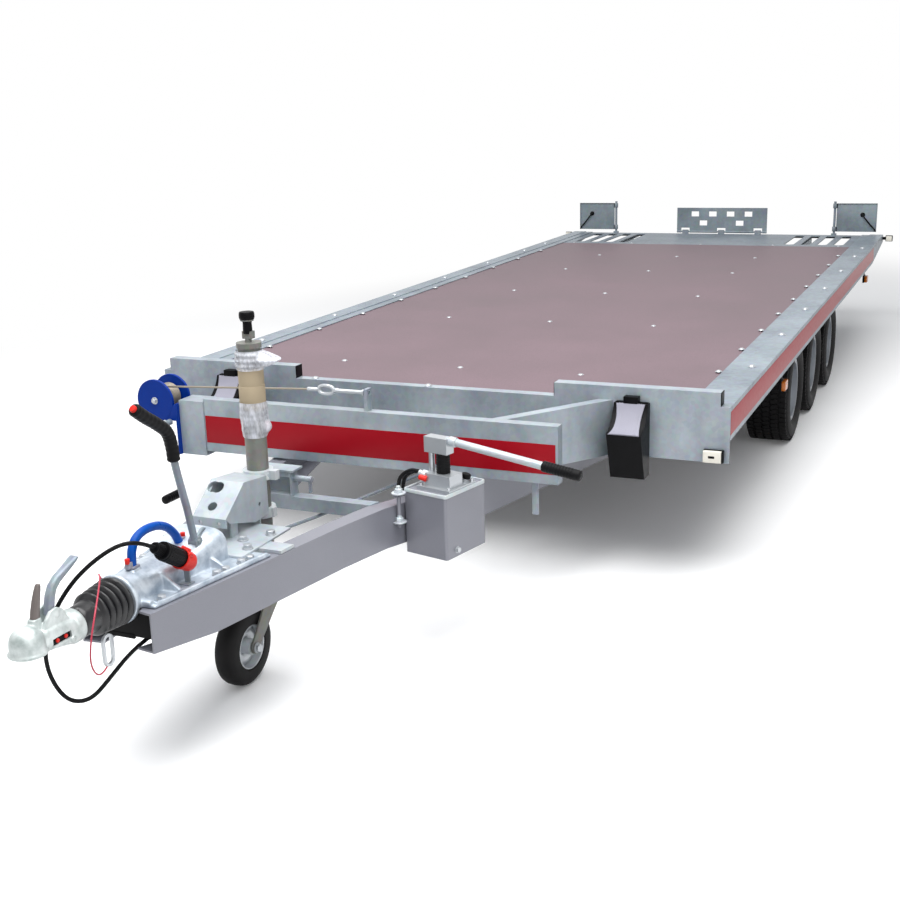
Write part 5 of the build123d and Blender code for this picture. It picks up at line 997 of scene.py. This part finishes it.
addTurned(shape, path[-1] - way * 0.004, way, [(0, 0.0085), (0.008, 0.0085), (0.0105, 0.0070), (0.0112, 0)], 20)
finishPiece("brakeReleaseButton", shape, redPlastic, "chassis")
print("grips made")

# ---- hand pump: lid rim, rubber boot, filler cap, clamp bolts, hose fittings ----
pump = {"x": 0.092, "y": 0.070, "low": 0.286, "top": 0.474, "width": 0.150, "length": 0.190, "lip": 0.0045}
shape = bmesh.new()
lip, corner = pump["lip"], 0.008
rimOutline = []
for cx, cy, start in ((pump["width"] - corner, pump["length"] - corner, 0), (corner, pump["length"] - corner, 90), (corner, corner, 180), (pump["width"] - corner, corner, 270)):
    for k in range(5):
        angle = math.radians(start + 22.5 * k)
        rimOutline.append((cx, cy, math.cos(angle), math.sin(angle)))
loops = []
for grow, height in ((corner + 0.0008, -0.006), (corner + 0.0016, -0.0055), (corner + 0.0016, 0.0030), (corner + 0.0006, 0.0045), (corner - 0.0025, 0.0045), (corner - 0.0035, 0.0036), (corner - 0.0035, -0.0002)):
    loops.append([shape.verts.new(onTank(cx + c * grow, cy + s * grow, pump["top"] + height)) for cx, cy, c, s in rimOutline])
for first, second in zip(loops, loops[1:] + loops[:1]):
    for k in range(len(first)):
        following = (k + 1) % len(first)
        shape.faces.new((first[k], first[following], second[following], second[k]))
finishPiece("tankLidRim", shape, galvanisedBright, "chassis", sharp=50)

shape = bmesh.new()
foot = onTank(pump["x"], pump["y"], pump["top"] + 0.044)
boot = [(0, 0.018)]
for k in range(8):
    start = 0.002 + k * 0.0072
    boot += [(start, 0.0188), (start + 0.0020, 0.0204), (start + 0.0046, 0.0204), (start + 0.0066, 0.0188)]
addRing(shape, foot, (0, 0, 1), boot + [(0.0605, 0.0188), (0.0605, 0.0180)], 36)
finishPiece("pumpBoot", shape, blackRubber, "chassis", sharp=50)

shape = bmesh.new()
addTurned(shape, onTank(0.122, 0.128, pump["top"] + 0.009), (0.25, 0.1, 1), [(0, 0.0135), (0.006, 0.0135), (0.007, 0.0110), (0.012, 0.0110)], 28)
finishPiece("fillerNeck", shape, brightSteel, "chassis")
shape = bmesh.new()
addTurned(shape, onTank(0.122, 0.128, pump["top"] + 0.019) + Vector((0.0028, 0.001, 0)), (0.25, 0.1, 1), [(0, 0.0125), (0.001, 0.0140), (0.012, 0.0140), (0.0145, 0.0120), (0.0155, 0.0070), (0.0157, 0)], 28)
finishPiece("fillerCap", shape, blackPlastic, "chassis")

clampBolts = [(onTank(0.006, -0.030, pump["top"] - 0.004 + 0.0005), (0, 0, 1)), (onTank(0.006, -0.030, pump["low"] + 0.0985), (0, 0, 1))]
finishFasteners("tankClampWashers", "chassis", "galvanised", galvanisedBright, clampBolts, seed=11, Head_Radius=0.0120, Head_Height=0.010,
                Chamfer=0.002, Washer_Radius=0.0205, Washer_Thickness=0.0030, Stud_Radius=0.0062, Stud_Length=0.022)
finishFasteners("tankDrain", "chassis", "bright_steel", brightSteel, [(onTank(0.1503, 0.048, pump["low"] + 0.020), outWay)], Head_Radius=0.0085,
                Head_Height=0.006, Chamfer=0.0012, Washer_Radius=0.0100, Washer_Thickness=0.0015, Stud_Radius=0.002, Stud_Length=0.003)
lidScrews = [(onTank(x, y, pump["top"] + 0.010), (0, 0, 1)) for x, y in ((0.038, 0.032), (0.138, 0.032), (0.038, 0.142), (0.138, 0.142), (0.038, 0.108))]
finishFasteners("pumpLidScrews", "chassis", "bright_steel", brightSteel, lidScrews, seed=12, Head_Radius=0.0062, Head_Height=0.0045,
                Chamfer=0.0009, Washer_Radius=0.0072, Washer_Thickness=0.0012, Stud_Radius=0.002, Stud_Length=0.003)
hoseStart = onTank(pump["x"] - 0.044, pump["y"], pump["top"] + 0.028)
shape = bmesh.new()
for k, shiftAlong in enumerate((-0.011, 0.011)):
    foot = hoseStart + turnOut * shiftAlong + outWay * 0.001
    way = Vector((-0.050, -0.008 * k, 0.022 - 0.008 * k)).normalized()
    addTurned(shape, foot, way, [(0, 0.0095), (0.002, 0.0105), (0.012, 0.0105), (0.0135, 0.0095)], 6)
    addTurned(shape, foot + way * 0.0135, way, [(0, 0.0080), (0.020, 0.0080), (0.0215, 0.0068)], 24)
finishPiece("hoseFittings", shape, galvanisedBright, "chassis", sharp=30)
shape = bmesh.new()
way = Vector((-0.050, -0.008, 0.014)).normalized()
addTurned(shape, hoseStart - turnOut * 0.030 + outWay * 0.006, way, [(0, 0.0070), (0.001, 0.0088), (0.020, 0.0080), (0.024, 0.0062), (0.025, 0)], 24)
finishPiece("pressurePortCap", shape, redPlastic, "chassis")
print("hand pump dressed")

# ---- winch: bead round the discs, rope in its coil, hook ----
winch = {"x": -0.818, "z": 0.578, "front": -0.396, "rear": -0.300, "thick": 0.010, "disc": 0.072, "drum": 0.040, "coil": 0.0462, "rope": 0.0035}
shape = bmesh.new()
for start, face in ((winch["front"], -1), (winch["rear"] + winch["thick"], 1)):
    middle = at(winch["x"], start, winch["z"])
    addRing(shape, middle, (0, face, 0), [(-0.0102, 0.0700), (-0.0102, 0.0722), (-0.0080, 0.0736), (-0.0020, 0.0736), (0.0004, 0.0722), (0.0004, 0.0690)], 72)
finishPiece("winchGuardBeads", shape, bluePaint, "bed", sharp=45)
finishFasteners("winchAxleNuts", "bed", "bright_steel", brightSteel, [(at(winch["x"], winch["front"], winch["z"]), (0, -1, 0)),
                (at(winch["x"], winch["rear"] + winch["thick"], winch["z"]), (0, 1, 0))], seed=13, Head_Radius=0.0095, Head_Height=0.007,
                Chamfer=0.0015, Washer_Radius=0.0125, Washer_Thickness=0.002, Stud_Radius=0.005, Stud_Length=0.011)
coil = runTree(ropeCoilTree, {"Turns": 10.6, "Radius": winch["coil"] - winch["rope"], "Length": 0.0735, "Rope Radius": winch["rope"], "Finish": steelRope})
shape = bmesh.new()
addMesh(shape, coil, Matrix.Translation(at(winch["x"], winch["front"] + 0.0165, winch["z"])) @ Matrix.Rotation(-math.pi / 2, 4, "X"))
addRod(shape, at(winch["x"], winch["front"] + 0.0115, winch["z"]), at(winch["x"], winch["rear"] - 0.0015, winch["z"]), winch["drum"], sides=48)
ropeStart, ropeEnd = at(winch["x"] + 0.006, -0.359, winch["z"] + winch["coil"] - winch["rope"]), at(-0.196, -0.359, 0.650)
addBent(shape, [ropeStart + (ropeEnd - ropeStart) * (k / 20) for k in range(21)], winch["rope"], 12)
ropePiece = finishPiece("winchRope", shape, steelRope, "bed", sharp=50)
shape = bmesh.new()  # forged snap hook: oval link, shank and swaged sleeve
middle = at(-0.162, -0.359, 0.650)
oval = []
for k in range(40):
    angle = 2 * math.pi * k / 40
    c, s = math.cos(angle), math.sin(angle)
    oval.append(middle + Vector((0.0265 * math.copysign(abs(c) ** 0.8, c), 0, 0.0135 * math.copysign(abs(s) ** 0.8, s))))
addBent(shape, oval, 0.0062, 14, closed=True)
addTurned(shape, at(-0.136, -0.359, 0.650), (1, 0, 0), [(0, 0.0062), (0.004, 0.0085), (0.016, 0.0085), (0.020, 0.0070), (0.104, 0.0068), (0.106, 0.0105), (0.112, 0.0105), (0.1135, 0.0085)], 24)
addTurned(shape, at(-0.232, -0.359, 0.6488), (1, 0, 0.02), [(0, 0.0045), (0.002, 0.0068), (0.036, 0.0068), (0.040, 0.0050)], 20)
hook = finishPiece("winchHook", shape, brightSteel, "bed", sharp=40)
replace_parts(ropePiece, "winch_cable")
print("winch dressed")

# ---- lamps: black bases, clear and coloured lenses ----
frontLamp = {"inner": 0.986, "outer": 1.050, "front": -0.026, "back": -0.0005, "low": 0.414, "high": 0.454}
shape, lens, slotShape = bmesh.new(), bmesh.new(), bmesh.new()
for side in (1, -1):
    addBlock(shape, at(side * frontLamp["inner"], -0.010, frontLamp["low"]), at(side * frontLamp["outer"], frontLamp["back"], frontLamp["high"]), 0.002)
    addBlock(shape, at(side * 1.0455, -0.024, frontLamp["low"] + 0.001), at(side * frontLamp["outer"], frontLamp["back"], frontLamp["high"] - 0.001), 0.0015)
    addBlock(lens, at(side * (frontLamp["inner"] + 0.001), frontLamp["front"], frontLamp["low"] + 0.001), at(side * 1.0452, -0.0095, frontLamp["high"] - 0.001), 0.0045)
    addBlock(slotShape, at(side * 1.004, frontLamp["front"] - 0.0004, 0.430), at(side * 1.024, frontLamp["front"] + 0.002, 0.438), 0.001)
    for y in (1.164, 4.200):  # side markers: base, amber lens, hanger bolt
        addBlock(shape, at(side * 1.030, y - 0.034, 0.388), at(side * 1.042, y + 0.034, 0.430), 0.003)
        addBlock(shape, at(side * 1.034, y - 0.012, 0.428), at(side * 1.038, y + 0.012, 0.482), 0.001)
    for y in (4.965,):  # outline lamp's rubber arm and shell
        arm = smoothRoute([at(side * 1.064, y + 0.010, 0.570), at(side * 1.072, y + 0.010, 0.570), at(side * 1.084, y + 0.010, 0.5705)], 4)
        addBent(shape, arm, [0.0095 + 0.0012 * (k % 2) for k in range(len(arm))], 20)
        addBlock(shape, at(side * 1.083, 4.968, 0.5502), at(side * 1.127, 4.982, 0.5898), 0.004)
finishPiece("lampBases", shape, blackPlastic, "bed")
finishPiece("frontLampLenses", lens, whiteLens, "bed")
finishPiece("frontLampSlots", slotShape, blackPlastic, "bed")
shape = bmesh.new()
for side in (1, -1):
    for y in (1.164, 4.200):
        addBlock(shape, at(side * 1.0415, y - 0.032, 0.390), at(side * 1.058, y + 0.032, 0.428), 0.0045)
amber = finishPiece("sideMarkerLenses", shape, amberLens, "bed")
shape, rear = bmesh.new(), bmesh.new()
for side in (1, -1):
    addBlock(shape, at(side * 1.087, 4.9572, 0.5535), at(side * 1.1225, 4.9685, 0.5865), 0.0035)
    addBlock(rear, at(side * 1.087, 4.9815, 0.5535), at(side * 1.1225, 4.9928, 0.5865), 0.0035)
finishPiece("outlineLampFronts", shape, whiteLens, "bed")
finishPiece("outlineLampRears", rear, redLens, "bed")
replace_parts(amber, "marker_lamps")
print("lamps fitted")

# ---- swinging light boards with their rear lamps ----
board = {"inner": 0.764, "outer": 1.020, "low": 0.610, "high": 0.796, "y": 4.983, "pin": 0.752}
for sideName, side in (("left", 1), ("right", -1)):
    body = f"light_board_{sideName}"
    shape = bmesh.new()
    addBlock(shape, at(side * board["inner"], board["y"] - 0.002, board["low"]), at(side * board["outer"], board["y"] + 0.002, board["high"]), 0.0008)
    addBlock(shape, at(side * (board["outer"] - 0.002), board["y"] - 0.010, board["low"]), at(side * board["outer"], board["y"] + 0.002, board["high"]), 0.0008)
    addBlock(shape, at(side * board["inner"], board["y"] - 0.010, board["high"] - 0.002), at(side * board["outer"], board["y"] + 0.002, board["high"]), 0.0008)
    for low in (board["low"] + 0.002, board["high"] - 0.032):
        addRing(shape, at(side * board["pin"], board["y"], low), (0, 0, 1), [(0, 0.0085), (0, 0.0125), (0.0008, 0.0130), (0.0292, 0.0130), (0.0300, 0.0125), (0.0300, 0.0085)], 28)
        addBlock(shape, at(side * (board["pin"] + 0.009), board["y"] - 0.002, low), at(side * (board["inner"] + 0.006), board["y"] + 0.002, low + 0.030), 0.0006)
    plate = finishPiece(f"{body}_plate", shape, galvanisedBoard, body)
    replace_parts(plate, body)
    shape = bmesh.new()
    addBlock(shape, at(side * 0.788, board["y"] + 0.002, 0.640), at(side * 1.008, board["y"] + 0.034, 0.750), 0.006)
    addTurned(shape, at(side * 0.930, board["y"] - 0.0015, 0.722), (0, -1, 0), [(0, 0.015), (0.004, 0.015), (0.005, 0.011), (0.014, 0.010), (0.016, 0.007), (0.0165, 0)], 24)
    finishPiece(f"{body}_lampBase", shape, blackPlastic, body)
    for label, lowX, highX, glass in (("brake", 0.792, 0.876, redLens), ("turn", 0.877, 0.945, amberLens), ("fog", 0.946, 1.004, redLens)):
        shape = bmesh.new()
        addBlock(shape, at(side * lowX, board["y"] + 0.033, 0.6445), at(side * highX, board["y"] + 0.0515, 0.7455), 0.007)
        finishPiece(f"{body}_{label}Lens", shape, glass, body, sharp=60)
    shape = bmesh.new()  # the board's cable, from its gland down to the rail's corner
    lead = smoothRoute([at(side * 0.930, board["y"] - 0.014, 0.722), at(side * 0.942, board["y"] - 0.020, 0.706), at(side * 0.966, board["y"] - 0.016, 0.676),
                        at(side * 0.990, board["y"] - 0.014, 0.648), at(side * 1.010, board["y"] - 0.014, 0.626), at(side * 1.016, board["y"] - 0.012, 0.612)], 8)
    addBent(shape, lead, 0.0045, 14)
    finishPiece(f"{body}_lead", shape, blackRubber, body)
print("light boards dressed")

# ---- grab handle's end caps and feet, plug's ribs, pads ----
shape = bmesh.new()
arch = smoothRoute([at(0, y, z) for y, z in ((-1.5985, 0.512), (-1.5975, 0.530), (-1.5930, 0.552), (-1.5790, 0.5715), (-1.5540, 0.5815), (-1.5220, 0.5830), (-1.4880, 0.5770),
                                             (-1.4560, 0.5620), (-1.4310, 0.5390), (-1.4170, 0.5170), (-1.4120, 0.5035))], 6)
addBent(shape, arch, 0.0108, 28)
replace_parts(finishPiece("grabHandleArch", shape, bluePlastic, "chassis"), "grab_handle")
shape, feet = bmesh.new(), bmesh.new()
for y, low, face in ((-1.598, 0.510, -1), (-1.412, 0.502, 1)):
    addBlock(feet, at(-0.0135, y - 0.0130, low - 0.0005), at(0.0135, y + 0.0130, low + 0.0060), 0.002)
    addLoft(feet, [(at(0, y + face * 0.0105, low + lift), 0.0085, deep, 3.0) for lift, deep in ((0.002, 0.0100), (0.010, 0.0095), (0.018, 0.0060))], sides=24)
    addRod(shape, at(0, y + face * 0.0160, low + 0.014), at(0, y + face * 0.0160, low + 0.027), 0.0062, sides=20, edge=0.0012)
finishPiece("grabHandleCaps", shape, redPlastic, "chassis")
finishPiece("grabHandleFeet", feet, greyPlastic, "chassis", sharp=50)

shape = bmesh.new()
tail, nose = at(0.080, -1.612, 0.574), at(0.084, -1.482, 0.490)
way = (nose - tail).normalized()
for k in range(6):
    addTurned(shape, tail + way * (0.004 + 0.0048 * k), way, [(0, 0.0128), (0.0006, 0.0142), (0.0024, 0.0142), (0.0030, 0.0128)], 28)
addTurned(shape, tail + way * 0.036, way, [(0, 0.0215), (0.0015, 0.0232), (0.008, 0.0232), (0.0095, 0.0218)], 40)
for k in range(18):
    angle = 2 * math.pi * k / 18
    side, up = basis(way)
    spoke = (side * math.cos(angle) + up * math.sin(angle)) * 0.0218
    addRod(shape, tail + way * 0.047 + spoke, tail + way * 0.092 + spoke, 0.0014, sides=6)
finishPiece("plugRibs", shape, blackPlastic, "chassis")
shape = bmesh.new()
face = tail + way * 0.106
addTurned(shape, face, way, [(0.0, 0.0215), (0.0006, 0.0240), (0.0060, 0.0245), (0.0300, 0.0240), (0.0380, 0.0225), (0.0440, 0.0185), (0.0472, 0.0110), (0.0480, 0)], 56)
addRing(shape, face - way * 0.002, way, [(0.0, 0.0232), (0.0, 0.0262), (0.0075, 0.0262), (0.0090, 0.0240)], 56)
for k in range(5):
    angle = math.radians(-150 + 30 * k)
    side, up = basis(way)
    lobe = face + way * 0.0035 + (Vector((1, 0, 0)) * math.cos(angle) * 0.0262 + Vector((1, 0, 0)).cross(way) * -math.sin(angle) * 0.0262)
    addRod(shape, lobe - way * 0.0055, lobe + way * 0.0070, 0.0048, sides=16, edge=0.001)
finishPiece("plugSocketCap", shape, redPlastic, "chassis", sharp=40)
shape = bmesh.new()
foot = face + way * 0.024
addBlock(shape, at(0, 0, 0) * 0 + Vector((foot.x - 0.008, foot.y - 0.002, 0.4462)), Vector((foot.x + 0.008, foot.y + 0.002, foot.z - 0.014)), 0.0006)
addBlock(shape, Vector((foot.x - 0.013, foot.y - 0.016, 0.4462)), Vector((foot.x + 0.013, foot.y + 0.010, 0.4490)), 0.0006)
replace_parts(finishPiece("plugSocketFoot", shape, galvanised, "chassis"), "plug_holder")

# stop bars' end plugs, ribbed face of the chocks
shape = bmesh.new()
for side in (1, -1):
    for x, face in ((0.490, -1), (1.034, 1)):
        addBlock(shape, at(side * (x - face * 0.010), 0.0035, 0.5955), at(side * (x + face * 0.0012), 0.0415, 0.6335), 0.001)
        addBlock(shape, at(side * (x - face * 0.0002), 0.0005, 0.5925), at(side * (x + face * 0.0022), 0.0445, 0.6365), 0.0015)
finishPiece("stopBarPlugs", shape, blackPlastic, "bed")
shape, clip = bmesh.new(), bmesh.new()
arc = smoothRoute([at(0, -0.1115, 0.5065), at(0, -0.083, 0.516), at(0, -0.060, 0.536), at(0, -0.041, 0.561), at(0, -0.0262, 0.589)], 6)
for side in (1, -1):
    middle = side * 0.755
    count = len(arc) - 1
    addLoft(shape, [(Vector((middle, p.y - 0.0004, p.z + 0.0004)), 0.0505 - 0.0085 * math.sin(math.pi * k / count) - 0.003 * k / count, 0.0030, 5.0)
                    for k, p in enumerate(arc)], sides=32)
    for k in range(9):
        across = (k - 4) * 0.0092
        addBent(shape, [Vector((middle + across * (1 - 0.16 * math.sin(math.pi * j / count)), p.y - 0.0012, p.z + 0.0030)) for j, p in enumerate(arc)], 0.0009, 6)
    addBlock(clip, at(middle - 0.024, -0.030, 0.588), at(middle + 0.024, -0.001, 0.6120), 0.003)
    addBlock(clip, at(middle - 0.052, -0.0155, 0.5840), at(middle + 0.052, -0.0025, 0.5930), 0.002)
finishPiece("chockClips", clip, blackPlastic, "bed")
finishPiece("chockRibs", shape, greyPlastic, "bed", sharp=60)
print("small parts fitted")

# ---- studio ----
world = bpy.data.worlds.new("studio")
bpy.context.scene.world = world
world.use_nodes = True
world.node_tree.nodes.clear()
paths = addNode(world.node_tree, "ShaderNodeLightPath")
seen = addNode(world.node_tree, "ShaderNodeMath", {"operation": "MAXIMUM"}, i0=paths.outputs["Is Camera Ray"], i1=paths.outputs["Is Transmission Ray"])
seen = addNode(world.node_tree, "ShaderNodeMath", {"operation": "MAXIMUM"}, i0=seen.outputs[0], i1=paths.outputs["Is Glossy Ray"])
glow = addNode(world.node_tree, "ShaderNodeBackground", Color=(0.93, 0.96, 1.0, 1), Strength=0.36)
backdrop = addNode(world.node_tree, "ShaderNodeBackground", Color=(1, 1, 1, 1), Strength=1.0)
mixed = addNode(world.node_tree, "ShaderNodeMixShader", i0=seen.outputs[0], i1=glow.outputs[0], i2=backdrop.outputs[0])
worldOut = addNode(world.node_tree, "ShaderNodeOutputWorld")
world.node_tree.links.new(mixed.outputs[0], worldOut.inputs[0])

floorMesh = bpy.data.meshes.new("floor")
floorMesh.from_pydata([(-30, -30, 0), (30, -30, 0), (30, 30, 0), (-30, 30, 0)], [], [(0, 1, 2, 3)])
floorPiece = bpy.data.objects.new("floor", floorMesh)
bpy.context.scene.collection.objects.link(floorPiece)
# white paper sweep: matt near the trailer so that it takes the shadow, running out into plain white
paper = bpy.data.materials.new("whiteFloorPaper")
paper.use_nodes = True
tree = paper.node_tree
tree.nodes.clear()
sweep = {"halfWidth": 2.6, "halfLength": 4.6, "fadeFrom": 1.0, "fadeTo": 1.7, "lift": 0.06}
floorCoords = addNode(tree, "ShaderNodeTexCoord").outputs["Object"]
spread = stretched(tree, floorCoords, (1 / sweep["halfWidth"], 1 / sweep["halfLength"], 0))
reach = addNode(tree, "ShaderNodeVectorMath", {"operation": "LENGTH"}, i0=spread).outputs["Value"]
fade = addNode(tree, "ShaderNodeMapRange", {"interpolation_type": "SMOOTHSTEP"}, Value=reach, From_Min=sweep["fadeFrom"], From_Max=sweep["fadeTo"]).outputs[0]
matt = addNode(tree, "ShaderNodeBsdfDiffuse", Color=(0.50, 0.50, 0.50, 1))
seenMatt = addNode(tree, "ShaderNodeBsdfDiffuse", Color=(1, 1, 1, 1))
lift = addNode(tree, "ShaderNodeEmission", Color=(1, 1, 1, 1), Strength=sweep["lift"])
near = addNode(tree, "ShaderNodeAddShader", i0=seenMatt.outputs[0], i1=lift.outputs[0])
plain = addNode(tree, "ShaderNodeEmission", Color=(1, 1, 1, 1), Strength=1.0)
shown = addNode(tree, "ShaderNodeMixShader", i0=fade, i1=near.outputs[0], i2=plain.outputs[0])
rays = addNode(tree, "ShaderNodeLightPath")
direct = addNode(tree, "ShaderNodeMath", {"operation": "MAXIMUM"}, i0=rays.outputs["Is Camera Ray"], i1=rays.outputs["Is Transmission Ray"])
direct = addNode(tree, "ShaderNodeMath", {"operation": "MAXIMUM"}, i0=direct.outputs[0], i1=rays.outputs["Is Glossy Ray"])
floorLook = addNode(tree, "ShaderNodeMixShader", i0=direct.outputs[0], i1=matt.outputs[0], i2=shown.outputs[0])
floorOut = addNode(tree, "ShaderNodeOutputMaterial")
tree.links.new(floorLook.outputs[0], floorOut.inputs[0])
floorMesh.materials.append(paper)

lamps = {
    "overhead": {"place": (0.4, -2.4, 5.2), "target": (0, -0.6, 0.4), "size": 5.6, "power": 520},
    "frontFill": {"place": (4.5, -6.5, 3.2), "target": (0.2, -1.5, 0.5), "size": 4.0, "power": 60},
    "leftEdge": {"place": (-6.0, -1.0, 3.4), "target": (0, -0.5, 0.5), "size": 4.0, "power": 60},
}
for name, lamp in lamps.items():
    light = bpy.data.lights.new(name, "AREA")
    light.size = lamp["size"]
    light.energy = lamp["power"]
    holder = bpy.data.objects.new(name, light)
    place = Vector(lamp["place"])
    turn = (Vector(lamp["target"]) - place).to_track_quat("-Z", "Y").to_matrix().to_4x4()
    holder.matrix_world = Matrix.Translation(place) @ turn
    bpy.context.scene.collection.objects.link(holder)

eye = {"place": (1.7916, -3.7724, 1.5332), "azimuth": 24.805, "elevation": 15.71, "roll": -1.961, "lens": 49.64,
       "shiftX": 0.0177, "shiftY": 0.0015}
camera = bpy.data.cameras.new("camera")
camera.lens = eye["lens"]
camera.sensor_width = 36.0
camera.shift_x, camera.shift_y = eye["shiftX"], eye["shiftY"]
camera.clip_end = 100
cameraPiece = bpy.data.objects.new("camera", camera)
a, e, r = (math.radians(eye[k]) for k in ("azimuth", "elevation", "roll"))
back = Vector((math.sin(a) * math.cos(e), -math.cos(a) * math.cos(e), math.sin(e)))
right = Vector((math.cos(a), math.sin(a), 0))
up = back.cross(right)
tiltedRight = right * math.cos(r) + up * math.sin(r)
tiltedUp = up * math.cos(r) - right * math.sin(r)
turn = Matrix((tiltedRight, tiltedUp, back)).transposed().to_4x4()
cameraPiece.matrix_world = Matrix.Translation(at(*eye["place"])) @ turn
bpy.context.scene.collection.objects.link(cameraPiece)
bpy.context.scene.camera = cameraPiece
bpy.context.scene.view_settings.view_transform = "Standard"
print("studio set")
